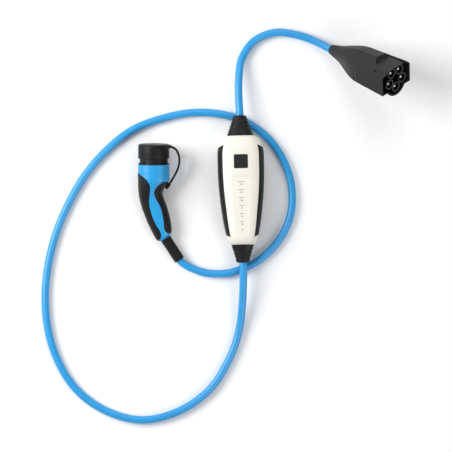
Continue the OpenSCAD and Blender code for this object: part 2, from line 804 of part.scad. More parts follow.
// Where the plug lies: held nose up by its stiff cable, rolled onto one side. The first is its tail's end
plug_tail_at = [192.4, 284.6, 21.5];
plug_heading = -29.8;
plug_pitch = 37.2;
plug_roll = 43.7;
function plug_turned(p) =
    rot_z(rot_y(rot_x([p.z, p.x, p.y], -plug_roll), -plug_pitch), plug_heading);
plug_origin = plug_tail_at - plug_turned([0, 0, -plug_len]);
function plug_point(p) = plug_origin + plug_turned(p);
module place_plug() {
    translate(plug_origin) rotate([0, 0, plug_heading]) rotate([0, -plug_pitch, 0])
        rotate([-plug_roll, 0, 0]) rotate([90, 0, 90]) children();
}
module pin_places() {
    for (i = [0:pin_count - 1]) rotate([0, 0, 270 + i * 360 / pin_count])
        translate([pin_pcd / 2, 0, 0]) children();
}

// Keyed top: the rib stops short of the face over a floored recess, and a slot opens beside it
key_len = 39;
key_slope = 7;
key_depth = 6.6;
key_from = -20;
key_to = 25.5;
key_floor = 1.6;
slot_w = 6;
slot_len = 30;
slot_y = 18;
well_wall = 1.2;
screw_hole_r = 2;
screw_inset = 10.5;
screw_seat = 4;
module key_recess() {
    floor_y = plug_top - key_depth;
    translate([key_from, 0, 0]) rotate([90, 0, 90]) linear_extrude(key_to - key_from) polygon([
        [floor_y, over], [plug_top + over, over], [plug_top + over, -key_len - key_slope],
        [floor_y, -key_len]]);
    translate([key_to - slot_w, slot_y, -slot_len]) cube([slot_w, plug_top - slot_y, slot_len + over]);
}
// A hollow of the shell, kept clear of the floor and the back of the recess
module plug_hollow(from, to) {
    depth = key_len + key_slope + plug_wall;
    difference() {
        plug_prism(plug_wall, from, to);
        translate([key_from - plug_wall, plug_top - key_depth - key_floor, -depth])
            cube([key_to - key_from + 2 * plug_wall, key_depth + key_floor, depth + 2 * over]);
    }
}
module plug_screw_places() {
    y = mix(plug_side_top, plug_rib_y, screw_inset / (plug_half_w - plug_rib_x));
    for (s = [-1, 1]) translate([s * (plug_half_w - screw_inset), y, -well_depth - plug_floor / 2])
        rotate([0, 0, s * (bevel_turn - 90)]) rotate([-90, 0, 0]) children();
}
module plug_shell() {
    color(plug_grey) place_plug() difference() {
        plug_prism(0, -plug_shell_len, 0);
        plug_hollow(-well_depth, over);
        plug_hollow(-plug_shell_len - over, -well_depth - plug_floor);
        key_recess();
        pin_places() translate([0, 0, -plug_shell_len]) cylinder(r = pin_root_r + fit, h = plug_shell_len);
        plug_screw_places() translate([0, 0, -screw_seat])
            cylinder(r = screw_hole_r + 4 * fit, h = 2 * screw_seat);
    }
}
insert_t = 5;
insert_r = pin_pcd / 2 + 4;
insert_top = fit - well_depth + insert_t;
pin_root_r = pin_d / 2 + 0.8;
module plug_insert() {
    color(black) place_plug() difference() {
        union() {
            translate([0, 0, fit - well_depth]) cylinder(r = insert_r, h = insert_t);
            pin_places() translate([0, 0, fit - well_depth])
                cylinder(r = well_d / 2 + well_wall, h = well_depth - 1);
        }
        pin_places() translate([0, 0, insert_top]) cylinder(r = well_d / 2, h = well_depth);
        pin_places() translate([0, 0, -well_depth - over]) cylinder(r = pin_root_r + fit, h = well_depth);
    }
}
// Pins with a thicker root, which stands a little proud of the insert
module plug_pins() {
    r = pin_d / 2;
    place_plug() pin_places() color(silver) translate([0, 0, -pin_recess - pin_length]) {
        cylinder(r = pin_root_r, h = insert_top + pin_recess + pin_length + 0.5);
        cylinder(r = r, h = pin_length - r);
        translate([0, 0, pin_length - r]) sphere(r);
    }
}
module plug_cover() {
    color(plug_grey) place_plug() difference() {
        loft([for (i = [0:cover_steps]) cover_ring(i / cover_steps, 0)]);
        loft(concat([[for (p = cover_ring(0, plug_wall)) p + [0, 0, over]]],
            [for (i = [1:cover_steps - 1]) cover_ring(i / cover_steps, plug_wall)]));
        translate([0, 0, -plug_len]) cylinder(r = bore_r, h = plug_len, $fn = cover_sides);
    }
}
module plug_screws() {
    head_h = 2.4;
    place_plug() plug_screw_places() color(silver) translate([0, 0, fit - screw_seat]) difference() {
        cylinder(r = screw_hole_r + 3 * fit, h = head_h);
        translate([0, 0, head_h / 2]) cylinder(r = screw_hole_r * 0.6, h = head_h, $fn = 6);
    }
}
tail_ribs = 4;
rib_share = 0.6;
function tail_reach(z) = mix(tail_tip_r, tail_r - fit, z / plug_tail_len);
module plug_tail() {
    pitch = (plug_tail_len - fit) / tail_ribs;
    color(black) place_plug() translate([0, 0, -plug_len]) rotate_extrude() polygon(concat(
        [[bore_r, 0]],
        [for (i = [0:tail_ribs - 1], q = [[0, 0], [rib_share, 0], [rib_share, tail_groove], [1, tail_groove]])
            let (z = (i + q[0]) * pitch) [tail_reach(z) - q[1], z]],
        [[bore_r, plug_tail_len - fit]]));
}
module plug_clamp() {
    hollow_end = fit + (plug_cover_len - fit) * (cover_steps - 1) / cover_steps;
    color(silver) place_plug() translate([0, 0, fit - plug_shell_len - hollow_end])
        ring(bore_r + 2.4, bore_r, 9);
}

// Cables: routes chosen by hand, as [x, y, z] at the centre line
cord_sides = 8;
cord_steps = 2;
floor_z = cord_r + 0.2;
cord_inset = 18;
// Straight stretch of cable in front of a boot's tip
cord_lead = 10;
long_route = [[0, -185, axis_z - 2.5], [-3, -235, 21], [-11, -290, floor_z + 2], [-32, -348, floor_z],
    [-75, -412, floor_z], [-142, -456, floor_z], [-219, -471, floor_z], [-295, -448, floor_z],
    [-356, -398, floor_z], [-396, -320, floor_z], [-410, -230, floor_z], [-400, -135, floor_z],
    [-368, -42, floor_z], [-312, 50, floor_z], [-233, 122, floor_z], [-150, 153, floor_z],
    [-75, 161, floor_z], [0, 145, floor_z], [60, 102, floor_z], [97, 37, floor_z],
    [104, -35, floor_z], [82, -97, floor_z], [36, -145, floor_z], [-20, -170, floor_z],
    [-70, -172, floor_z], [-105, -160, floor_z + 1.2]];
short_route = [[-1, 190, axis_z - 3], [0, 228, 22], [7, 270, floor_z + 4], [34, 307, floor_z],
    [77, 323, floor_z], [122, 317, floor_z], [157, 304, floor_z + 1.2]];
function cord_ring(p, way) = let (side = unit(cross(way, [0, 0, 1])), up = cross(side, way))
    [for (k = [0:cord_sides - 1]) let (a = 360 * (k + 0.5) / cord_sides)
        p + cord_r * (cos(a) * side + sin(a) * up)];
module cord(points) {
    path = smoothed(points, cord_steps);
    way = ways(path);
    color(blue) polyhedron([for (i = [0:len(path) - 1]) each cord_ring(path[i], way[i])],
        tube_faces(len(path), cord_sides));
}
module long_cord() {
    tip = low_boot_len + cord_lead;
    start = [for (d = [-cord_in, 0, low_boot_len, tip]) [0, y_low - d, axis_z]];
    end = [for (d = [heel_boot_len + cord_lead, heel_boot_len, heel_boot_len / 2, 0, -cord_inset])
        heel_point(d)];
    cord(concat(start, long_route, end));
}
module short_cord() {
    tip = top_boot_len + cord_lead;
    start = [for (d = [-cord_in, 0, top_boot_len, tip]) [0, y_top + d, axis_z]];
    end = [for (d = [-cord_lead, 0, plug_tail_len, plug_tail_len + cord_inset])
        plug_point([0, 0, d - plug_len])];
    cord(concat(start, short_route, end));
}

front_shell();
back_shell();
shell_seal();
left_grip();
right_grip();
top_boot();
bottom_boot();
touch_pad();
main_board();
board_screws();
power_relays();
current_sensor();
mains_terminals();
vehicle_terminals();
power_supply();
indicator_board();
indicator_lights();
top_clamp();
bottom_clamp();
shell_screws();
handle_shell();
back_grip();
finger_grip();
nose();
nose_seal();
power_contacts();
signal_contacts();
contact_retainer();
cap();
cap_tether();
connector_boot();
connector_clamp();
plug_shell();
plug_insert();
plug_pins();
plug_cover();
plug_screws();
plug_tail();
plug_clamp();
long_cord();
short_cord();
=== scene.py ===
"""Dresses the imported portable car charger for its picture.

The control box, the vehicle connector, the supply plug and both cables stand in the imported
model's own frame, in metres. The sizes below are in millimetres, as a maker would write them,
and MM turns them into metres.
"""

from __future__ import annotations

import json
import logging
import math
from dataclasses import dataclass, field
from enum import Enum
from typing import Callable, Sequence

import bmesh
import bpy
from bpy.types import Material, Node, NodeSocket, Object
from mathutils import Matrix, Vector

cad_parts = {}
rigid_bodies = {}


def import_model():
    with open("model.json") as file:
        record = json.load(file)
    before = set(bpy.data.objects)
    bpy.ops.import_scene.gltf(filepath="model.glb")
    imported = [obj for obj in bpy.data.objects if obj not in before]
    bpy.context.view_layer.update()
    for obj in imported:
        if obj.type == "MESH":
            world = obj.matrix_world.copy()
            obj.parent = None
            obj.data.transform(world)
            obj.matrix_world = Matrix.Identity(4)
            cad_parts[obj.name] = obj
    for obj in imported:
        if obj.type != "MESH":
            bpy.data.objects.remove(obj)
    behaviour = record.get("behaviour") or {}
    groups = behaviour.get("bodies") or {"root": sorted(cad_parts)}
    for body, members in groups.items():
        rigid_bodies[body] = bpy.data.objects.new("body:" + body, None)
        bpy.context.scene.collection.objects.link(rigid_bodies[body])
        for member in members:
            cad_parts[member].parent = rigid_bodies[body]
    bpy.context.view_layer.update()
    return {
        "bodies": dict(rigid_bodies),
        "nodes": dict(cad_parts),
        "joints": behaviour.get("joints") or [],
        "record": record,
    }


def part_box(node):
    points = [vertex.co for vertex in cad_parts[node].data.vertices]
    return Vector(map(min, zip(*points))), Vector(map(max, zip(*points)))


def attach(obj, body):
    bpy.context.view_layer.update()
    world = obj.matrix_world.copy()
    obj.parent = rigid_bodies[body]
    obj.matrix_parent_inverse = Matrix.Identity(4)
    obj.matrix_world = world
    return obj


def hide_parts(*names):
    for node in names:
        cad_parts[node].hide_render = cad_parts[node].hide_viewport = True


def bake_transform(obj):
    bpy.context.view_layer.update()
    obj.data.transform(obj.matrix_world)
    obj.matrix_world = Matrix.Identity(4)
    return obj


LOG = logging.getLogger("charger")
MM = 0.001


class Body(str, Enum):
    """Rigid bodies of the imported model."""

    CHARGER = "charger"
    CAP = "pull_cap"


class Slot(str, Enum):
    """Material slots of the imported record."""

    CREAM = "cream_shell"
    RUBBER = "black_rubber"
    PAD = "pad_gloss"
    BOARD = "board"
    STEEL = "steel"
    RELAY = "relay_blue"
    DARK = "dark_plastic"
    BRASS = "brass"
    SUPPLY = "supply_yellow"
    LENS = "light_lens"
    BLUE = "blue_shell"
    CABLE = "blue_cable"
    NOSE = "nose_black"
    PLUG = "plug_grey"
    SILVER = "contact_silver"


class Region(Enum):
    """What a patch of the handle's surface is made of."""

    SHELL = "shell"
    BACK_GRIP = "back_grip"
    FINGER_GRIP = "finger_grip"


def mix(a: float, b: float, t: float) -> float:
    """The value a share t of the way from a to b."""
    return a + (b - a) * t


def smoothstep(low: float, high: float, value: float) -> float:
    """A soft step from 0 at low to 1 at high."""
    t = min(max((value - low) / (high - low), 0.0), 1.0)
    return t * t * (3 - 2 * t)


def cross(a: Vector, b: Vector) -> float:
    """Cross product of two flat vectors."""
    return a.x * b.y - a.y * b.x


def squared_circle(angle: float, power: float) -> tuple[float, float]:
    """A point of a circle that is drawn out towards a square.

    Args:
        angle: Direction of the point, in radians.
        power: 2 for a circle, more for a squarer outline.

    Returns:
        Its two coordinates, each from -1 to 1.
    """
    c, s = math.cos(angle), math.sin(angle)
    reach = (abs(c) ** power + abs(s) ** power) ** (1 / power)
    return c / reach, s / reach


def squared_angle(share: float, power: float) -> float:
    """Direction in which a squared circle's first coordinate has a value.

    Args:
        share: The first coordinate, from -1 to 1.
        power: As in squared_circle.

    Returns:
        The direction, from 0 to pi.
    """
    share = min(max(share, -1.0), 1.0)
    return math.atan2((1 - abs(share) ** power) ** (1 / power), share)


def spline(points: Sequence[Sequence[float]], steps: int) -> list[tuple[float, ...]]:
    """Places extra points smoothly between given ones.

    Args:
        points: Points or stations, each a row of numbers.
        steps: How many steps each span is cut into.

    Returns:
        The given points with the extra ones between them.
    """
    last = len(points) - 1
    made: list[tuple[float, ...]] = []
    for i in range(last):
        a, b, c, d = (points[min(max(i + k, 0), last)] for k in (-1, 0, 1, 2))
        for k in range(steps):
            t = k / steps
            made.append(tuple(
                0.5 * (2 * q + (r - p) * t + (2 * p - 5 * q + 4 * r - s) * t * t
                       + (3 * q - p - 3 * r + s) * t ** 3)
                for p, q, r, s in zip(a, b, c, d)))
    made.append(tuple(points[last]))
    return made


def turns(sides: int) -> list[float]:
    """Evenly spaced directions all the way round."""
    return [2 * math.pi * k / sides for k in range(sides)]


def polar(r: float, angle: float, z: float) -> Vector:
    """A point at a distance and direction from the Z axis."""
    return Vector((r * math.cos(angle), r * math.sin(angle), z))


def even(low: float, high: float, count: int) -> list[float]:
    """A row of evenly spaced values from low to high."""
    return [mix(low, high, i / (count - 1)) for i in range(count)]


class Meshwork:
    """Makes and finishes plain mesh objects, all in metres and placed in their meshes."""

    CREASE = math.radians(38)
    WELD = 0.004 * MM
    SLIVER = 0.002 * MM

    @staticmethod
    def new(name: str, vertices: Sequence[Vector], faces: Sequence[Sequence[int]]) -> Object:
        """Makes an object from points in millimetres.

        Args:
            name: The object's name.
            vertices: Its points, in millimetres.
            faces: Its faces, as indices.

        Returns:
            The linked object.
        """
        mesh = bpy.data.meshes.new(name)
        mesh.from_pydata([tuple(Vector(v) * MM) for v in vertices], [], [list(f) for f in faces])
        obj = bpy.data.objects.new(name, mesh)
        bpy.context.scene.collection.objects.link(obj)
        return obj

    @staticmethod
    def discard(obj: Object) -> None:
        """Deletes an object with its mesh."""
        mesh = obj.data
        bpy.data.objects.remove(obj)
        bpy.data.meshes.remove(mesh)

    @classmethod
    def clean(cls, obj: Object, outward: bool = True) -> Object:
        """Welds doubles, drops loose points and, on a closed shape, turns its faces outwards."""
        work = bmesh.new()
        work.from_mesh(obj.data)
        bmesh.ops.remove_doubles(work, verts=work.verts, dist=cls.WELD)
        bmesh.ops.dissolve_degenerate(work, edges=work.edges, dist=cls.SLIVER)
        bmesh.ops.delete(work, geom=[v for v in work.verts if not v.link_faces], context="VERTS")
        if outward:
            bmesh.ops.recalc_face_normals(work, faces=work.faces)
        work.to_mesh(obj.data)
        work.free()
        return obj

    @staticmethod
    def settle(obj: Object) -> Object:
        """Turns an object with modifiers into a plain mesh."""
        bpy.context.view_layer.update()
        graph = bpy.context.evaluated_depsgraph_get()
        mesh = bpy.data.meshes.new_from_object(obj.evaluated_get(graph))
        old = obj.data
        obj.modifiers.clear()
        obj.data = mesh
        mesh.name = obj.name
        bpy.data.meshes.remove(old)
        return obj

    @classmethod
    def smooth(cls, obj: Object) -> Object:
        """Shades smoothly, apart from edges sharper than the crease angle."""
        mesh = obj.data
        mesh.polygons.foreach_set("use_smooth", [True] * len(mesh.polygons))
        mesh.set_sharp_from_angle(angle=cls.CREASE)
        return obj

    @classmethod
    def loft(cls, name: str, rings: Sequence[Sequence[Vector]], loop: bool = False) -> Object:
        """A closed solid through rings of equally many points.

        Args:
            name: The object's name.
            rings: Rings of points in millimetres.
            loop: Joins the last ring to the first, in place of two end faces.

        Returns:
            The object, with its faces outwards.
        """
        n = len(rings[0])
        count = len(rings)
        faces = [[i * n + k, i * n + (k + 1) % n, (i + 1) % count * n + (k + 1) % n, (i + 1) % count * n + k]
                 for i in range(count if loop else count - 1) for k in range(n)]
        if not loop:
            faces += [list(range(n)), list(range((count - 1) * n, count * n))]
        obj = cls.new(name, [p for ring in rings for p in ring], faces)
        return cls.smooth(cls.clean(obj))

    @classmethod
    def lathe(cls, name: str, profile: Sequence[tuple[float, float]], sides: int) -> Object:
        """A closed solid turned about Z from a closed profile of (radius, height) points."""
        return cls.loft(name, [[polar(r, a, z) for a in turns(sides)] for r, z in profile], loop=True)

    @classmethod
    def skin(cls, name: str, grids: Sequence[Sequence[Sequence[Vector]]], cores: Sequence[Vector],
             keep: Callable[[int, int], bool] | None = None) -> Object:
        """An open skin from grids of points, with its faces away from a core line.

        Args:
            name: The object's name.
            grids: Grids of points in millimetres, each a list of rows.
            cores: One point inside for each row.
            keep: Says whether the cell at a row and column is part of the skin.

        Returns:
            The skin, with its grids welded where they meet.
        """
        vertices: list[Vector] = []
        faces: list[list[int]] = []
        sign = 0.0
        for grid in grids:
            start, wide = len(vertices), len(grid[0])
            vertices += [p for row in grid for p in row]
            for i in range(len(grid) - 1):
                for j in range(wide - 1):
                    if keep and not keep(i, j):
                        continue
                    a = start + i * wide + j
                    face = [a, a + 1, a + wide + 1, a + wide]
                    across = vertices[a + wide + 1] - vertices[a]
                    normal = across.cross(vertices[a + wide] - vertices[a + 1])
                    sign += normal.dot(vertices[a] - cores[i])
                    faces.append(face)
        if sign < 0:
            faces = [face[::-1] for face in faces]
        return cls.clean(cls.new(name, vertices, faces), outward=False)

    @classmethod
    def thicken(cls, obj: Object, wall: float, edge: float) -> Object:
        """Gives a skin a wall on its inner side and rounds the wall's edges, both in millimetres."""
        solid = obj.modifiers.new("wall", "SOLIDIFY")
        solid.thickness = wall * MM
        solid.offset = -1
        solid.use_rim = True
        bevel = obj.modifiers.new("edges", "BEVEL")
        bevel.width = edge * MM
        bevel.segments = 3
        bevel.limit_method = "ANGLE"
        bevel.angle_limit = math.radians(48)
        bevel.use_clamp_overlap = False
        return cls.smooth(cls.settle(obj))

    @classmethod
    def cut(cls, obj: Object, *cutters: Object) -> Object:
        """Cuts closed shapes out of an object and deletes them."""
        for cutter in cutters:
            tool = obj.modifiers.new("cut", "BOOLEAN")
            tool.operation = "DIFFERENCE"
            tool.solver = "EXACT"
            tool.object = cutter
        cls.settle(obj)
        for cutter in cutters:
            cls.discard(cutter)
        return cls.smooth(obj)

    @classmethod
    def join(cls, obj: Object, *others: Object) -> Object:
        """Adds other objects' meshes to an object and deletes them."""
        work = bmesh.new()
        work.from_mesh(obj.data)
        for other in others:
            work.from_mesh(other.data)
            cls.discard(other)
        work.to_mesh(obj.data)
        work.free()
        return obj

    @staticmethod
    def place(obj: Object, placement: Matrix) -> Object:
        """Moves a mesh by a placement whose shift is in millimetres."""
        shift = placement.copy()
        shift.translation = placement.translation * MM
        obj.data.transform(shift)
        obj.data.update()
        return obj

    @classmethod
    def rounded_box(cls, name: str, low: Vector, high: Vector, edge: float) -> Object:
        """A box between two corners, with rounded edges."""
        corners = [Vector((x, y, z)) for z in (low.z, high.z)
                   for x, y in ((low.x, low.y), (high.x, low.y), (high.x, high.y), (low.x, high.y))]
        faces = [[3, 2, 1, 0], [4, 5, 6, 7], [0, 1, 5, 4], [1, 2, 6, 5], [2, 3, 7, 6], [3, 0, 4, 7]]
        obj = cls.new(name, corners, faces)
        bevel = obj.modifiers.new("edges", "BEVEL")
        bevel.width = edge * MM
        bevel.segments = 4
        return cls.smooth(cls.settle(obj))


class Graph:
    """A geometry node tree that is made in code and run once on an object."""

    def __init__(self, name: str) -> None:
        """Starts an empty tree with a geometry input and output."""
        self.tree = bpy.data.node_groups.new(name, "GeometryNodeTree")
        self.tree.interface.new_socket(name="Geometry", in_out="INPUT", socket_type="NodeSocketGeometry")
        self.tree.interface.new_socket(name="Geometry", in_out="OUTPUT", socket_type="NodeSocketGeometry")
        self.values: dict[str, float | int] = {}
        self.start = self.tree.nodes.new("NodeGroupInput")
        self.end = self.tree.nodes.new("NodeGroupOutput")

    def size(self, name: str, value: float | int) -> NodeSocket:
        """Adds a named input with its value.

        Args:
            name: The input's name.
            value: A whole number for a count, or a length in metres.

        Returns:
            The socket to link from.
        """
        kind = "NodeSocketInt" if isinstance(value, int) else "NodeSocketFloat"
        made = self.tree.interface.new_socket(name=name, in_out="INPUT", socket_type=kind)
        self.values[made.identifier] = value
        return self.start.outputs[name]

    def add(self, kind: str, inputs: dict[str, object] | None = None, **settings: object) -> Node:
        """Adds a node.

        Args:
            kind: The node's type.
            inputs: Input names or numbers with a socket to link or a value to set.
            settings: The node's own settings.

        Returns:
            The node.
        """
        node = self.tree.nodes.new(kind)
        for key, value in settings.items():
            setattr(node, key, value)
        for key, value in (inputs or {}).items():
            socket = node.inputs[key]
            if isinstance(value, NodeSocket):
                self.tree.links.new(value, socket)
            else:
                socket.default_value = value
        return node

    def math(self, operation: str, first: object, second: object = 0.0) -> NodeSocket:
        """The result of one sum on two sockets or numbers."""
        node = self.add("ShaderNodeMath", {0: first, 1: second}, operation=operation)
        return node.outputs[0]

    def run(self, obj: Object, shape: NodeSocket,
            material: Material) -> Object:
        """Ends the tree, runs it on an object and keeps the result as a plain mesh.

        Args:
            obj: The object that carries the tree.
            shape: The tree's last geometry.
            material: The finish that it gets.

        Returns:
            The object with its new mesh.
        """
        real = self.add("GeometryNodeRealizeInstances", {0: shape})
        dressed = self.add("GeometryNodeSetMaterial", {"Geometry": real.outputs[0], "Material": material})
        self.tree.links.new(dressed.outputs[0], self.end.inputs[0])
        modifier = obj.modifiers.new("pattern", "NODES")
        modifier.node_group = self.tree
        for identifier, value in self.values.items():
            modifier[identifier] = value
        Meshwork.settle(obj)
        return Meshwork.smooth(obj)


@dataclass(frozen=True)
class Moulded:
    """A moulded plastic or rubber finish with grain, a little mottle and soft gloss."""

    name: str
    color: tuple[float, float, float]
    roughness: float
    grain: float = 2200.0
    depth: float = 0.05
    mottle: float = 0.04
    gloss_spread: float = 0.05
    coat: float = 0.0
    metallic: float = 0.0
    specular: float = 0.5
    coat_roughness: float = 0.12
    mottle_scale: float = 38.0
    mottle_band: tuple[float, float] = (0.3, 0.7)
    bump_strength: float = 0.35

    def material(self) -> Material:
        """Builds the finish.

        Returns:
            A material whose colour, gloss and grain come from its nodes.
        """
        made = bpy.data.materials.get(self.name)
        if made:
            return made
        made = bpy.data.materials.new(self.name)
        made.use_nodes = True
        nodes, links = made.node_tree.nodes, made.node_tree.links
        shader = nodes["Principled BSDF"]
        shader.inputs["Metallic"].default_value = self.metallic
        shader.inputs["Specular IOR Level"].default_value = self.specular
        shader.inputs["Coat Weight"].default_value = self.coat
        shader.inputs["Coat Roughness"].default_value = self.coat_roughness
        place = nodes.new("ShaderNodeTexCoord")

        def noise(scale: float, detail: float) -> NodeSocket:
            """A noise pattern on the piece's own coordinates."""
            node = nodes.new("ShaderNodeTexNoise")
            node.inputs["Scale"].default_value = scale
            node.inputs["Detail"].default_value = detail
            links.new(place.outputs["Object"], node.inputs["Vector"])
            return node.outputs["Fac"]

        broad = noise(self.mottle_scale, 3.0)
        fine = noise(self.grain, 2.0)
        ramp = nodes.new("ShaderNodeValToRGB")
        dark = [max(c * (1 - self.mottle), 0.0) for c in self.color]
        light = [min(c * (1 + self.mottle), 1.0) for c in self.color]
        for stop, position, color in zip(ramp.color_ramp.elements, self.mottle_band, (dark, light)):
            stop.position = position
            stop.color = (*color, 1.0)
        links.new(broad, ramp.inputs["Fac"])
        links.new(ramp.outputs["Color"], shader.inputs["Base Color"])
        spread = nodes.new("ShaderNodeMapRange")
        spread.inputs["To Min"].default_value = self.roughness - self.gloss_spread
        spread.inputs["To Max"].default_value = self.roughness + self.gloss_spread
        links.new(fine, spread.inputs["Value"])
        links.new(spread.outputs["Result"], shader.inputs["Roughness"])
        bump = nodes.new("ShaderNodeBump")
        bump.inputs["Strength"].default_value = self.bump_strength
        bump.inputs["Distance"].default_value = self.depth * MM
        links.new(fine, bump.inputs["Height"])
        links.new(bump.outputs["Normal"], shader.inputs["Normal"])
        return made


class Finishes:
    """The charger's finishes, one for each material slot, with a few for small details."""

    BY_SLOT: dict[Slot, Moulded] = {
        Slot.CREAM: Moulded(
            "cream satin plastic", (0.765, 0.747, 0.672), 0.42, 1800, 0.03, 0.012, 0.05, 0.12),
        Slot.RUBBER: Moulded(
            "black soft rubber", (0.0075, 0.0075, 0.008), 0.46, 1500, 0.08, 0.10, 0.07, specular=0.24),
        Slot.PAD: Moulded("black gloss panel", (0.010, 0.010, 0.011), 0.16, 900, 0.004, 0.05, 0.03, 0.6),
        Slot.BOARD: Moulded("green solder mask", (0.012, 0.105, 0.04), 0.4, 700, 0.03, 0.12),
        Slot.STEEL: Moulded(
            "bright screw steel", (0.62, 0.63, 0.65), 0.3, 1500, 0.02, 0.05, 0.08, metallic=1.0),
        Slot.RELAY: Moulded("relay case", (0.02, 0.04, 0.15), 0.45),
        Slot.DARK: Moulded("dark inner plastic", (0.035, 0.035, 0.037), 0.5),
        Slot.BRASS: Moulded("plain brass", (0.66, 0.46, 0.16), 0.3, 1200, 0.02, 0.08, 0.06, metallic=1.0),
        Slot.SUPPLY: Moulded("taped coil", (0.55, 0.48, 0.07), 0.5, 600, 0.05, 0.08),
        Slot.LENS: Moulded("clear white lens", (0.88, 0.9, 0.88), 0.2, coat=0.4),
        Slot.BLUE: Moulded("blue satin plastic", (0.010, 0.300, 0.64), 0.38, 1700, 0.035, 0.03, 0.05, 0.15),
        Slot.CABLE: Moulded("blue cable sheath", (0.018, 0.295, 0.65), 0.36, 700, 0.06, 0.035, 0.06, 0.12),
        Slot.NOSE: Moulded(
            "black satin plastic", (0.0085, 0.0085, 0.0083), 0.42, 1900, 0.04, 0.08, 0.07, specular=0.2),
        Slot.PLUG: Moulded(
            "dark grained plastic", (0.015, 0.015, 0.015), 0.48, 1300, 0.09, 0.09, 0.07, specular=0.32),
        Slot.SILVER: Moulded("silver plate", (0.93, 0.93, 0.94), 0.42, 1400, 0.01, 0.04, 0.05, metallic=1.0),
    }
    MARK = Moulded("grey scale ink", (0.13, 0.127, 0.12), 0.55, 900, 0.01, 0.1)
    # Screw steel painted near black: painted shade of the screw holes, in place of the steel's own bright
    # colour.
    HOLE_SHADE = Moulded(
        "blackened screw steel", (0.004, 0.004, 0.004), 0.6, 1500, 0.02, 0.06, 0.06, specular=0.1)
    # Light grey on the well rims: a painted highlight on the same dark plastic as the plug.
    RIM_HIGHLIGHT = Moulded("worn rim plastic", (0.11, 0.11, 0.11), 0.45, 1500, 0.03, 0.1)
    FLOOR = Moulded("pale floor", (0.90, 0.90, 0.90), 0.9, 60, 0.02, 0.004)

    @classmethod
    def of(cls, slot: Slot) -> Material:
        """The material of a slot."""
        return cls.BY_SLOT[slot].material()


class Dresser:
    """Gives pieces their finish and body, and keeps count of what stands for which node."""

    def __init__(self) -> None:
        """Starts with nothing dressed."""
        self.replaced: set[str] = set()

    @staticmethod
    def paint(obj: Object, finish: Moulded) -> None:
        """Gives an object one finish and no other."""
        obj.data.materials.clear()
        obj.data.materials.append(finish.material())

    def piece(self, obj: Object, slot: Slot, *nodes: str, body: Body = Body.CHARGER,
              finish: Moulded | None = None, ride: bool = True) -> Object:
        """Dresses a new piece.

        Args:
            obj: The piece.
            slot: The record's slot that it belongs to.
            nodes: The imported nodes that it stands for.
            body: The body that it moves with.
            finish: Its finish, where that isn't the slot's own.
            ride: False for a piece that is left unattached to any body.

        Returns:
            The piece.
        """
        self.paint(obj, finish or Finishes.BY_SLOT[slot])
        if ride:
            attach(obj, body.value)
        if nodes:
            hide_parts(*nodes)
            self.replaced.update(nodes)
        LOG.info("%s rides on %s, stands for %s", obj.name, body.value, ", ".join(nodes) or "nothing")
        return obj

    def carried_over(self, frame: dict) -> None:
        """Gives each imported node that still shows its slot's finish."""
        for part in frame["record"]["subparts"]:
            name = part["node"]
            if name in self.replaced:
                continue
            obj = frame["nodes"][name]
            # The plug's screws get painted shade so that their holes read dark.
            shaded_hole = name == "plug_screws"
            self.paint(obj, Finishes.HOLE_SHADE if shaded_hole else Finishes.BY_SLOT[Slot(part["material_slot"])])
            LOG.info("%s is carried over", name)


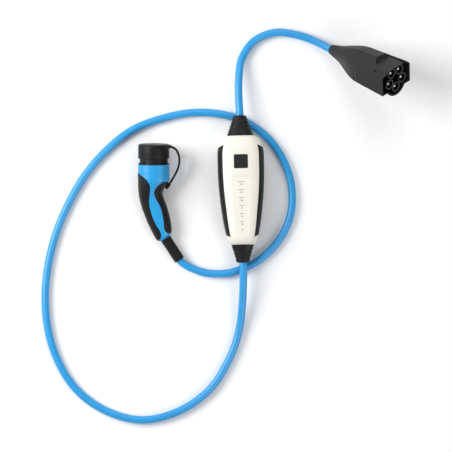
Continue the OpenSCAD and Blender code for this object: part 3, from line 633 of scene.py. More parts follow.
@dataclass
class ControlBox:
    """The cream control box with its inlaid grips, touch pad, scale and cable boots."""

    body_len: float = 224.0
    body_w: float = 95.0
    foot_w: float = 67.0
    body_h: float = 66.0
    back_cut: float = 1.2
    square: float = 3.0
    wall: float = 2.4
    edge: float = 0.45
    seam: float = 0.3
    grip_w: float = 10.0
    grip_slant: float = 0.42
    grip_wall: float = 1.9
    grip_crown: float = 0.35
    pad_w: float = 28.5
    pad_t: float = 1.8
    pad_corner: float = 2.5
    panel_depth: float = 0.8
    top_boot_len: float = 42.0
    low_boot_len: float = 37.0
    top_boot: tuple[float, float] = (54.0, 42.0)
    low_boot: tuple[float, float] = (46.0, 38.0)
    boot_tip_d: float = 26.0
    bore_r: float = 8.15
    rib_depth: float = 1.0
    top_round: float = 40.0
    low_round: float = 24.0
    screw_well_r: float = 3.4
    screw_well_depth: float = 10.0
    scale_numbers: tuple[str, ...] = ("32", "25", "20", "16", "13", "10", "6")
    scale_pitch: float = 16.4
    shoulder_drop: float = 61.0
    foot_rise: float = 21.0
    grip_ends: tuple[float, float] = (19.0, 15.5)
    grip_narrowing: tuple[float, float] = (2.4, 55.0)
    grip_edge: float = 0.6
    pad_drop: float = 53.5
    pad_rise: float = 0.3
    panel_ends: tuple[float, float] = (84.0, 15.0)
    panel_widths: tuple[float, float] = (44.0, 26.0)
    panel_edge: tuple[float, float] = (-0.3, 0.7)
    panel_side: tuple[float, float] = (-1.0, 3.0)
    scale_drop: float = 11.3
    line_w: float = 13.4
    line_shorter: float = 1.12
    line_size: tuple[float, float] = (0.9, 0.2)
    figure_size: float = 4.4
    figure_weight: float = 0.13
    figure_t: float = 0.1
    figure_drop: float = 5.6
    post_inset: float = 5.5
    post_from_end: float = 30.0
    post_below_middle: float = 6.0
    parting: float = 0.08
    row_steps: int = 104
    grip_columns: int = 13
    front_columns: int = 65

    def __post_init__(self) -> None:
        """Works out the places that follow from the sizes."""
        self.half_height = (self.body_h + self.back_cut) / 2
        self.axis_z = self.body_h - self.half_height
        self.y_top = (self.body_len + self.low_boot_len - self.top_boot_len) / 2
        self.y_low = self.y_top - self.body_len
        self.shoulder_y = self.y_top - self.shoulder_drop
        self.foot_y = self.y_low + self.foot_rise
        self.grip_top_y = self.y_top - self.grip_ends[0]
        self.grip_low_y = self.y_low + self.grip_ends[1]
        self.pad_y = self.y_top - self.pad_drop
        self.panel_top = (self.y_top - self.panel_ends[0], self.panel_widths[0])
        self.panel_low = (self.y_low + self.panel_ends[1], self.panel_widths[1])
        self.panel_z = self.body_h - self.panel_depth
        self.scale_top = self.panel_top[0] - self.scale_drop

    @staticmethod
    def rounding(past: float, length: float) -> float:
        """How far a corner has drawn in at a distance past its start."""
        return 0.0 if past <= 0 else 1 - math.sqrt(max(0.0, 1 - (past / length) ** 2))

    def taper(self, y: float) -> float:
        """Half width at y before the ends round off."""
        share = max(0.0, self.shoulder_y - y) / (self.shoulder_y - self.foot_y)
        return self.body_w / 2 - (self.body_w - self.foot_w) / 2 * share ** 2

    def ends(self, y: float) -> tuple[float, float]:
        """How far the upper and the lower end have drawn in at y."""
        return (self.rounding(y - (self.y_top - self.top_round), self.top_round),
                self.rounding(self.y_low + self.low_round - y, self.low_round))

    def half_w(self, y: float) -> float:
        """Half width of the body at y."""
        top, low = self.ends(y)
        return (self.taper(y) - (self.body_w - self.top_boot[0]) / 2 * top
                - (self.taper(self.y_low) - self.low_boot[0] / 2) * low)

    def half_h(self, y: float) -> float:
        """Half depth of the body at y."""
        top, low = self.ends(y)
        return (self.half_height - (self.half_height - self.top_boot[1] / 2) * top
                - (self.half_height - self.low_boot[1] / 2) * low)

    def slant(self, row: float) -> float:
        """Slope of a row of the skin across a side grip, which fades out at both ends of the body."""
        if row > self.grip_top_y:
            return self.grip_slant * (self.y_top - row) / (self.y_top - self.grip_top_y)
        if row < self.grip_low_y:
            return -self.grip_slant * (row - self.y_low) / (self.grip_low_y - self.y_low)
        share = (row - self.grip_low_y) / (self.grip_top_y - self.grip_low_y)
        return mix(-self.grip_slant, self.grip_slant, share)

    def point(self, row: float, angle: float, lift: float = 0.0) -> Vector:
        """A point of the body's surface.

        Args:
            row: Where the row crosses the front, along Y.
            angle: Direction about the body's axis, 0 to the right and a quarter turn at the front.
            lift: Height above the surface.

        Returns:
            The point in millimetres.
        """
        c, s = squared_circle(angle, self.square)
        edge_x = self.half_w(row) - self.grip_width(row)
        y = row
        settling = 6
        for _ in range(settling):
            x = self.half_w(y) * c
            y = min(max(row - self.slant(row) * max(0.0, abs(x) - edge_x), self.y_low), self.y_top)
        x = (self.half_w(y) + lift) * c
        z = self.axis_z + (self.half_h(y) + lift) * s
        return Vector((x, y, max(z, 0.0)))

    def grip_width(self, row: float) -> float:
        """Width of a side grip seen from the front, which narrows towards its lower end."""
        narrower, length = self.grip_narrowing
        return self.grip_w - narrower * min(1.0, max(0.0, 1 - (row - self.grip_low_y) / length))

    def panel_share(self, x: float, y: float) -> float:
        """How fully a point of the front lies inside the flat scale panel, from 0 to 1."""
        (high, top_w), (low, low_w) = self.panel_top, self.panel_low
        width = mix(low_w, top_w, (y - low) / (high - low)) / 2
        inside = min(high - y, y - low)
        return smoothstep(*self.panel_edge, inside) * smoothstep(*self.panel_side, width - abs(x))

    def front_point(self, row: float, angle: float) -> Vector:
        """A point of the front shell, with the scale panel sunk into it."""
        p = self.point(row, angle)
        if p.z > self.panel_z:
            p.z -= (p.z - self.panel_z) * self.panel_share(p.x, p.y)
        return p

    def rows(self) -> list[float]:
        """Places of the skin's rows, close together at both ends and at the grips' ends."""
        clear = 0.7
        marks = [edge + k * self.seam / 2 for edge in (self.grip_low_y, self.grip_top_y) for k in (-1, 1)]
        marks += [self.panel_top[0] + d for d in (-0.7, -0.2, 0.3)]
        shares = [(1 - math.cos(math.pi * i / self.row_steps)) / 2 for i in range(self.row_steps + 1)]
        made = [mix(self.y_low, self.y_top, share) for share in shares]
        free = [y for y in made if all(abs(y - m) > clear for m in marks)]
        return sorted(free + marks)

    def grip_angle(self, row: float, shift: float) -> float:
        """Direction of a side grip's front edge on a row, moved outwards by shift."""
        half = self.half_w(row)
        return squared_angle((half - self.grip_width(row) + shift) / half, self.square)

    def half_columns(self, row: float) -> list[float]:
        """Directions of one shell's columns on a row, from its right parting edge to its left one."""
        start = self.parting / self.half_height
        grip, shell = self.grip_angle(row, self.seam / 2), self.grip_angle(row, -self.seam / 2)
        side = even(start, grip, self.grip_columns)
        middle = even(shell, math.pi - shell, self.front_columns)
        return side + middle + [math.pi - a for a in reversed(side)]

    def on_grip(self, i: int, rows: Sequence[float]) -> bool:
        """Whether the rows i and i + 1 bound a strip that the side grips or their seams take up."""
        middle = (rows[i] + rows[i + 1]) / 2
        return self.grip_low_y - self.seam < middle < self.grip_top_y + self.seam

    def shell(self, name: str, front: bool) -> Object:
        """One shell of the body, notched for the side grips.

        Args:
            name: The piece's name.
            front: True for the front shell and False for the back one.

        Returns:
            The walled shell.
        """
        rows = self.rows()
        side = self.grip_columns
        if front:
            grid = [[self.front_point(row, a) for a in self.half_columns(row)] for row in rows]
        else:
            grid = [[self.point(row, -a) for a in self.half_columns(row)] for row in rows]
        last = len(grid[0]) - 1

        def keep(i: int, j: int) -> bool:
            """Whether a cell isn't taken up by a grip or the seam round it."""
            return not self.on_grip(i, rows) or side <= j < last - side

        cores = [Vector((0, row, self.axis_z)) for row in rows]
        return Meshwork.thicken(Meshwork.skin(name, [grid], cores, keep), self.wall, self.edge)

    def side_grip(self, name: str, side: int) -> Object:
        """A crowned rubber grip that wraps one side of the body.

        Args:
            name: The piece's name.
            side: 1 for the right grip and -1 for the left one.

        Returns:
            The walled grip.
        """
        low, high = self.grip_low_y + self.seam / 2, self.grip_top_y - self.seam / 2
        clear, across, squareness, fade = 0.4, 41, 6, 5
        rows = [low] + [y for y in self.rows() if low + clear < y < high - clear] + [high]
        grid = []
        for row in rows:
            reach = self.grip_angle(row, self.seam / 2)
            line = []
            ending = smoothstep(0, fade, min(row - low, high - row))
            for share in even(-1, 1, across):
                lift = self.grip_crown * (1 - abs(share) ** squareness) * ending
                angle = share * reach
                line.append(self.point(row, angle if side > 0 else math.pi - angle, lift))
            grid.append(line)
        cores = [Vector((0, row, self.axis_z)) for row in rows]
        return Meshwork.thicken(Meshwork.skin(name, [grid], cores), self.grip_wall, self.grip_edge)

    def boot(self, name: str, base: float, way: int, length: float, size: tuple[float, float],
             groove: float) -> Object:
        """A ribbed rubber boot over the cable.

        Args:
            name: The piece's name.
            base: Where it meets the body, along Y.
            way: 1 if it points along +Y and -1 if along -Y.
            length: Its length.
            size: Its width and height at the body.
            groove: Depth of a groove between its ribs.

        Returns:
            The hollow boot.
        """
        sides, steps = 72, 110
        gap, lip, tip_round = 0.15, 0.5, 3.0
        groove_start, groove_pitch, groove_w = 0.36, 0.19, 1.05
        grooves = [groove_start + groove_pitch * i for i in range(3)]
        rings: list[list[Vector]] = []

        def ring(share: float, shrink: float, at: float) -> list[Vector]:
            """One ring of the boot at a share of its length, drawn in by shrink."""
            half_x = mix(size[0], self.boot_tip_d, share) / 2 - shrink
            half_z = mix(size[1], self.boot_tip_d, share) / 2 - shrink
            power = mix(self.square, 2, math.sqrt(share))
            line = [squared_circle(a, power) for a in turns(sides)]
            return [Vector((half_x * c, base + way * at, self.axis_z + half_z * s)) for c, s in line]

        rings.append(ring(0, 1.2, gap))
        rings.append(ring(0, 0.35, gap))
        for i in range(steps + 1):
            share = i / steps
            at = gap + lip + share * (length - gap - lip)
            depth = sum(groove * math.exp(-((share - g) * length / groove_w) ** 2) for g in grooves)
            left = max(0.0, tip_round - (length - at))
            depth += tip_round - math.sqrt(max(0.0, tip_round ** 2 - left ** 2))
            rings.append(ring(share, depth, at))
        r = self.bore_r
        for at in (length, gap):
            y = base + way * at
            rings.append([Vector((r * math.cos(a), y, self.axis_z + r * math.sin(a))) for a in turns(sides)])
        return Meshwork.loft(name, rings, loop=True)

    def pad_ring(self, z: float, grow: float) -> list[Vector]:
        """The pad's outline with rounded corners at a height, grown on all sides."""
        straight, r = self.pad_w / 2 - self.pad_corner, self.pad_corner + grow
        line = []
        steps = 8
        for k, (x, y) in enumerate(((1, 1), (-1, 1), (-1, -1), (1, -1))):
            for step in range(steps + 1):
                a = (k + step / steps) * math.pi / 2
                line.append(Vector((
                    x * straight + r * math.cos(a), self.pad_y + y * straight + r * math.sin(a), z)))
        return line

    def touch_pad(self) -> Object:
        """The square gloss pad with rounded corners and a softened edge."""
        top = self.body_h + self.pad_rise
        steps = ((top - self.pad_t, 0.0), (top - 0.35, 0.0), (top - 0.12, -0.1), (top, -0.4))
        return Meshwork.loft("pad_face", [self.pad_ring(z, grow) for z, grow in steps])

    def pad_pocket(self) -> Object:
        """The pocket with a fine gap about the pad, as a shape to cut out of the front shell."""
        low = self.body_h + 0.25 - self.pad_t
        gap, lip = 0.2, 0.5
        steps = ((low, gap), (self.body_h - 0.15, gap), (self.body_h + 0.15, lip), (self.body_h + 2, lip))
        return Meshwork.loft("pad_pocket", [self.pad_ring(z, grow) for z, grow in steps])

    def scale_lines(self) -> Object:
        """The row of printed lines on the front, each a little shorter than the one above."""
        graph = Graph("scale lines")
        count = graph.size("Count", len(self.scale_numbers))
        pitch = graph.size("Pitch", self.scale_pitch * MM)
        first = graph.size("First Width", self.line_w * MM)
        step = graph.size("Width Step", self.line_shorter * MM)
        down = graph.add("ShaderNodeCombineXYZ", {"Y": graph.math("MULTIPLY", pitch, -1.0)})
        line = graph.add("GeometryNodeMeshLine", {"Count": count, "Offset": down.outputs[0]})
        bar = graph.add("GeometryNodeMeshCube", {"Size": (1.0, *(v * MM for v in self.line_size))})
        order = graph.add("GeometryNodeInputIndex")
        width = graph.math("SUBTRACT", first, graph.math("MULTIPLY", order.outputs[0], step))
        size = graph.add("ShaderNodeCombineXYZ", {"X": width, "Y": 1.0, "Z": 1.0})
        bars = graph.add("GeometryNodeInstanceOnPoints", {
            "Points": line.outputs[0], "Instance": bar.outputs[0], "Scale": size.outputs[0]})
        obj = Meshwork.new("scale_lines", [Vector((0, 0, 0))], [])
        graph.run(obj, bars.outputs[0], Finishes.MARK.material())
        return Meshwork.place(obj, Matrix.Translation((0, self.scale_top, self.panel_z)))

    def scale_figures(self) -> Object:
        """The plain numbers under the lines of the scale, in one mesh."""
        made = Meshwork.new("scale_figures", [], [])
        for i, number in enumerate(self.scale_numbers):
            text = bpy.data.curves.new("figure", "FONT")
            text.body = number
            text.size = self.figure_size * MM
            text.offset = self.figure_weight * MM
            text.align_x = "CENTER"
            text.align_y = "CENTER"
            text.extrude = self.figure_t * MM
            holder = bpy.data.objects.new("figure", text)
            bpy.context.scene.collection.objects.link(holder)
            bpy.context.view_layer.update()
            graph = bpy.context.evaluated_depsgraph_get()
            mesh = bpy.data.meshes.new_from_object(holder.evaluated_get(graph))
            bpy.data.objects.remove(holder)
            bpy.data.curves.remove(text)
            figure = bpy.data.objects.new("figure", mesh)
            y = self.scale_top - self.figure_drop - i * self.scale_pitch
            Meshwork.place(figure, Matrix.Translation((0, y, self.panel_z)))
            Meshwork.join(made, figure)
        return Meshwork.clean(made, outward=False)

    def screw_posts(self) -> list[Vector]:
        """Places of the six shell screws on the back."""
        made = []
        middle = (self.y_top + self.y_low) / 2 - self.post_below_middle
        for side in (-1, 1):
            for y in (self.y_top - self.post_from_end, middle, self.y_low + self.post_from_end):
                made.append(Vector((side * (self.half_w(y) - self.grip_w - self.post_inset), y, 0)))
        return made

    def screw_wells(self) -> Object:
        """The tubes that the shell screws stand in, one at each post."""
        r, deep = self.screw_well_r, self.screw_well_depth
        bore, outer, end = 1.8, r + 1.3, deep + 1.2
        tube = Meshwork.lathe("well", [
            (r, 0.25), (r, deep), (bore, deep), (bore, end), (outer, end), (outer, 0.6)], 40)
        graph = Graph("screw wells")
        shape = graph.add("GeometryNodeObjectInfo", {"Object": tube})
        wells = graph.add("GeometryNodeInstanceOnPoints", {
            "Points": graph.start.outputs[0], "Instance": shape.outputs["Geometry"]})
        obj = Meshwork.new("screw_wells", self.screw_posts(), [])
        graph.run(obj, wells.outputs[0], Finishes.of(Slot.CREAM))
        Meshwork.discard(tube)
        return obj

    def screw_holes(self) -> list[Object]:
        """Flared shapes that cut the screw holes into the back shell."""
        made = []
        r = self.screw_well_r + 0.02
        for post in self.screw_posts():
            hole = Meshwork.lathe("hole", [
                (0.01, -1), (r + 0.9, -1), (r + 0.45, 0.0), (r, 0.45), (r, 6), (0.01, 6)], 40)
            made.append(Meshwork.place(hole, Matrix.Translation(post)))
        return made

    def build(self, dresser: Dresser) -> None:
        """Builds and dresses the whole box."""
        front = Meshwork.cut(self.shell("front_cover", True), self.pad_pocket())
        dresser.piece(front, Slot.CREAM, "front_shell")
        back = Meshwork.cut(self.shell("back_cover", False), *self.screw_holes())
        dresser.piece(back, Slot.CREAM, "back_shell")
        dresser.piece(self.screw_wells(), Slot.CREAM)
        dresser.piece(self.side_grip("left_side_grip", -1), Slot.RUBBER, "left_grip")
        dresser.piece(self.side_grip("right_side_grip", 1), Slot.RUBBER, "right_grip")
        shallow = self.rib_depth * 0.7
        top = self.boot("upper_cable_boot", self.y_top, 1, self.top_boot_len, self.top_boot, shallow)
        dresser.piece(top, Slot.RUBBER, "top_boot")
        low = self.boot("lower_cable_boot", self.y_low, -1, self.low_boot_len, self.low_boot, self.rib_depth)
        dresser.piece(low, Slot.RUBBER, "bottom_boot")
        dresser.piece(self.touch_pad(), Slot.PAD, "touch_pad")
        dresser.piece(self.scale_lines(), Slot.CREAM, finish=Finishes.MARK)
        dresser.piece(self.scale_figures(), Slot.CREAM, finish=Finishes.MARK)


@dataclass
class VehicleConnector:
    """The pistol-grip connector, drawn with its nose along +Y from the collar's face."""

    collar_r: float = 32.5
    neck_r: float = 29.0
    nose_len: float = 38.5
    cap_r: float = 32.0
    cap_len: float = 29.5
    cap_corner: float = 4.0
    ear: tuple[float, float, float] = (6.0, 7.0, 10.0)
    square: float = 2.25
    shell_wall: float = 2.0
    seam: float = 0.16
    grip_lift: float = 0.3
    heel_boot_r: float = 11.0
    heel_boot_len: float = 54.0
    tether_t: float = 4.4
    tether_w: float = 9.0
    lug_t: float = 8.0
    at: tuple[float, float] = (-179.0, 55.0)
    turn: float = -1.3
    tip: float = 7.0
    seal_middle: float = 1.25
    cap_past_nose: float = 3.0
    shell_edge: float = 0.5
    heel_bore: float = 8.12
    heel_mouth: float = 9.2
    columns: int = 49
    stations: list[tuple[float, ...]] = field(default_factory=lambda: [
        (0, 0, 0, 32.5, 32.5), (0, -17, 0, 32.5, 32.5), (-0.4, -33, 0, 32, 32), (-4.8, -51, 5, 27, 27.5),
        (-5.9, -65, 11, 24.1, 23.5), (-1.8, -80.5, 18, 24.4, 21.5), (4.2, -97, 22.5, 24.6, 20.5),
        (10.8, -116, 24.5, 23.5, 20), (17, -134.5, 26, 20.9, 19), (20.8, -147, 29, 17.8, 17),
        (23.4, -152.6, 33, 13, 13)])
    back_edge: list[tuple[float, float]] = field(default_factory=lambda: [
        (-45, -8), (-32.5, -17), (-18, -27), (-9.2, -38), (-7.2, -49), (-9, -69), (-9, -79), (-7.6, -90),
        (-2, -109), (6, -126), (12.8, -137), (15, -146), (13, -154), (8, -168)])
    finger_edge: list[tuple[float, float]] = field(default_factory=lambda: [
        (50, -33), (28.6, -35), (18.4, -37), (9, -42.6), (2.6, -52), (1.8, -60), (4.2, -68), (10.5, -79),
        (16, -91.5), (19, -105.5), (21.2, -120), (22, -131), (26, -138.7), (33.3, -141.5), (50, -141)])
    tether_route: list[tuple[float, float]] = field(default_factory=lambda: [
        (34.6, 36.5), (45.5, 30.5), (51.8, 17.5), (52.6, 4), (49.5, -9), (43.8, -21.5), (37.8, -32),
        (32.0, -40.5), (27.4, -46.2), (24.6, -49.6)])

    def __post_init__(self) -> None:
        """Works out where the connector lies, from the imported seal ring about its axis."""
        low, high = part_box("nose_seal")
        tip = math.radians(self.tip)
        height = (low[2] + high[2]) / 2 / MM - self.seal_middle * math.sin(tip)
        self.placement = (Matrix.Translation((*self.at, height))
                          @ Matrix.Rotation(math.radians(self.turn), 4, "Z") @ Matrix.Rotation(tip, 4, "X"))
        heel = self.stations[-1]
        self.heel = Vector((heel[0], heel[1], 0))
        turn = math.radians(heel[2] - 90)
        self.heel_way = Vector((math.cos(turn), math.sin(turn), 0))

    def heel_point(self, d: float) -> Vector:
        """A point on the cable's line at the heel, in the model's frame."""
        return self.placement @ (self.heel + d * self.heel_way)

    @staticmethod
    def crossing(edge: Sequence[Sequence[float]], station: Sequence[float],
                 near: float) -> tuple[float, float] | None:
        """Where a seam crosses a section of the handle.

        Args:
            edge: The seam's points in plan.
            station: The section's x, y and tilt, with its half width and thickness.
            near: The crossing on the section before, to choose among several.

        Returns:
            The place across the section and the sine of the angle between seam and section.
        """
        tilt = math.radians(station[2])
        way = Vector((math.cos(tilt), math.sin(tilt)))
        normal = Vector((-way.y, way.x))
        centre = Vector(station[:2])
        best: tuple[float, float] | None = None
        for p, q in zip(edge, edge[1:]):
            a, b = Vector(p[:2]) - centre, Vector(q[:2]) - centre
            high, low = a.dot(normal), b.dot(normal)
            if high * low > 0 or high == low:
                continue
            t = high / (high - low)
            u = mix(a.dot(way), b.dot(way), t)
            sine = abs((b - a).normalized().dot(normal))
            if best is None or abs(u - near) < abs(best[0] - near):
                best = (u, sine)
        return best

    def sections(self) -> list[tuple[float, ...]]:
        """The handle's sections from the collar's face to the heel, with both ends drawn in."""
        path = spline(self.stations, 11)
        first, last = path[0], path[-1]
        face = [(0, 0, 0, r, r) for r in (self.neck_r + 0.35, self.collar_r - 1.0)]
        heel = [(last[0], last[1], last[2], r, r) for r in (last[3] - 1.0, self.heel_mouth)]
        return face + [first] + path[1:] + heel

    def seams(self, sections: Sequence[Sequence[float]]) -> list[list[tuple[float, float]]]:
        """Where the back and finger seams cross each section, each with half the seam's opening."""
        least_sine = 0.25
        edges = [spline(edge, 8) for edge in (self.back_edge, self.finger_edge)]
        near = [-40.0, 40.0]
        made = []
        for s in sections:
            found = []
            for i, side in enumerate((-1, 1)):
                near[i], sine = self.crossing(edges[i], s, near[i]) or (side * s[3], 1.0)
                found.append((near[i], self.seam / max(sine, least_sine)))
            made.append(found)
        return made

    def surface(self, s: Sequence[float], angle: float, lift: float = 0.0) -> Vector:
        """A point of the handle's surface on a section."""
        c, v = squared_circle(angle, self.square)
        tilt = math.radians(s[2])
        u = (s[3] + lift) * c
        return Vector((s[0] + u * math.cos(tilt), s[1] + u * math.sin(tilt), (s[4] + lift) * v))

    def region(self, name: str, kind: Region) -> Object:
        """One part of the handle's surface as a walled piece.

        Args:
            name: The piece's name.
            kind: Which part.

        Returns:
            The piece in the connector's own frame.
        """
        sections = self.sections()
        grids: list[list[list[Vector]]] = [[], []]
        for s, ((u_back, open_back), (u_finger, open_finger)) in zip(sections, self.seams(sections)):
            half = s[3]
            if kind is Region.BACK_GRIP:
                start = squared_angle((u_back - open_back) / half, self.square)
                spans = [(start, 2 * math.pi - start)]
            elif kind is Region.FINGER_GRIP:
                start = squared_angle((u_finger + open_finger) / half, self.square)
                spans = [(-start, start)]
            else:
                finger_side = u_finger - (open_finger if u_finger < half else 0)
                back_side = u_back + (open_back if u_back > -half else 0)
                start = squared_angle(finger_side / half, self.square)
                stop = squared_angle(back_side / half, self.square)
                spans = [(start, stop), (2 * math.pi - stop, 2 * math.pi - start)]
            lift = 0.0 if kind is Region.SHELL else self.grip_lift
            for grid, (low, high) in zip(grids, spans):
                grid.append([self.surface(s, a, lift) for a in even(low, high, self.columns)])
        cores = [Vector((s[0], s[1], 0)) for s in sections]
        obj = Meshwork.skin(name, [g for g in grids if g], cores)
        return Meshwork.thicken(obj, self.shell_wall, self.shell_edge)

    def cap(self) -> Object:
        """The pull-off cap with a soft rim, a flat end and an ear for its tether."""
        end = self.nose_len + self.cap_past_nose
        start = end - self.cap_len
        bore, floor = self.neck_r + 0.3, self.nose_len + 0.5
        r, corner = self.cap_r, self.cap_corner
        profile = [(0.02, end), (r - corner - 4, end)]
        steps = 8
        for i in range(steps + 1):
            a = math.pi / 2 * (1 - i / steps)
            profile.append((r - corner + corner * math.cos(a), end - corner + corner * math.sin(a)))
        profile += [
            (r, start + 3.4), (r - 0.05, start + 3.1), (r + 0.35, start + 2.6), (r + 0.4, start + 1.4),
            (r - 0.1, start + 0.35), (r - 0.9, start), (bore + 0.6, start), (bore, start + 0.6),
            (bore, floor - 1), (bore - 1, floor), (0.02, floor)]
        body = Meshwork.lathe("cap_shell", profile, 128)
        Meshwork.place(body, Matrix.Rotation(math.radians(-90), 4, "X"))
        ear_x, ear_top = r + 3, end - 1.5
        ear = Meshwork.rounded_box(
            "ear", Vector((ear_x - self.ear[0], ear_top - self.ear[1], -self.ear[2] / 2)),
            Vector((ear_x, ear_top, self.ear[2] / 2)), 1.0)
        return Meshwork.smooth(Meshwork.join(body, ear))

    def tether(self) -> Object:
        """The flat rubber strap from the cap's ear to its thicker lug on the finger grip."""
        path = [Vector((x, y, 0)) for x, y in spline(self.tether_route, 9)]
        sides, squareness = 32, 5
        rings = []
        for i, p in enumerate(path):
            way = (path[min(i + 1, len(path) - 1)] - path[max(i - 1, 0)]).normalized()
            if i == 0:
                way = Vector((1, 0, 0))
            across = Vector((-way.y, way.x, 0))
            lug = smoothstep(12.5, 10.5, (path[-1] - p).length)
            half = mix(self.tether_t, self.lug_t, lug) / 2
            line = [squared_circle(a, squareness) for a in turns(sides)]
            rings.append([p + across * (c * half) + Vector((0, 0, s * self.tether_w / 2)) for c, s in line])
        return Meshwork.loft("cap_strap", rings)

    def heel_boot(self) -> Object:
        """The plain sleeve on the cable under the heel, with a thicker lip at its end."""
        r, length, bore = self.heel_boot_r, self.heel_boot_len, self.heel_bore
        profile = [
            (r - 0.5, 0.15), (r, 0.65), (r, length - 4.6), (r - 0.35, length - 4.2), (r - 0.35, length - 3.6),
            (r, length - 3.2), (r, length - 0.8), (r - 0.3, length - 0.25), (r - 0.9, length),
            (bore + 0.5, length), (bore, length - 0.5), (bore, 0.15)]
        obj = Meshwork.lathe("heel_sleeve", profile, 64)
        turn = Vector((0, 0, 1)).rotation_difference(self.heel_way).to_matrix().to_4x4()
        return Meshwork.place(obj, Matrix.Translation(self.heel) @ turn)

    def build(self, dresser: Dresser) -> list[Object]:
        """Builds and dresses the connector.

        Args:
            dresser: What gives the pieces their finish.

        Returns:
            The pieces next to the long cable.
        """
        shell = self.region("handle_cover", Region.SHELL)
        back = self.region("palm_grip", Region.BACK_GRIP)
        finger = self.region("finger_side_grip", Region.FINGER_GRIP)
        sleeve = self.heel_boot()
        cap, strap = self.cap(), self.tether()
        for obj in (shell, back, finger, sleeve, cap, strap):
            Meshwork.place(obj, self.placement)
        dresser.piece(shell, Slot.BLUE, "handle_shell")
        dresser.piece(back, Slot.RUBBER, "back_grip")
        dresser.piece(finger, Slot.RUBBER, "finger_grip")
        dresser.piece(sleeve, Slot.RUBBER, "connector_boot")
        dresser.piece(cap, Slot.NOSE, "cap", body=Body.CAP)
        dresser.piece(strap, Slot.RUBBER, "cap_tether", ride=False)
        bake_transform(strap)
        return [shell, back, finger, sleeve]


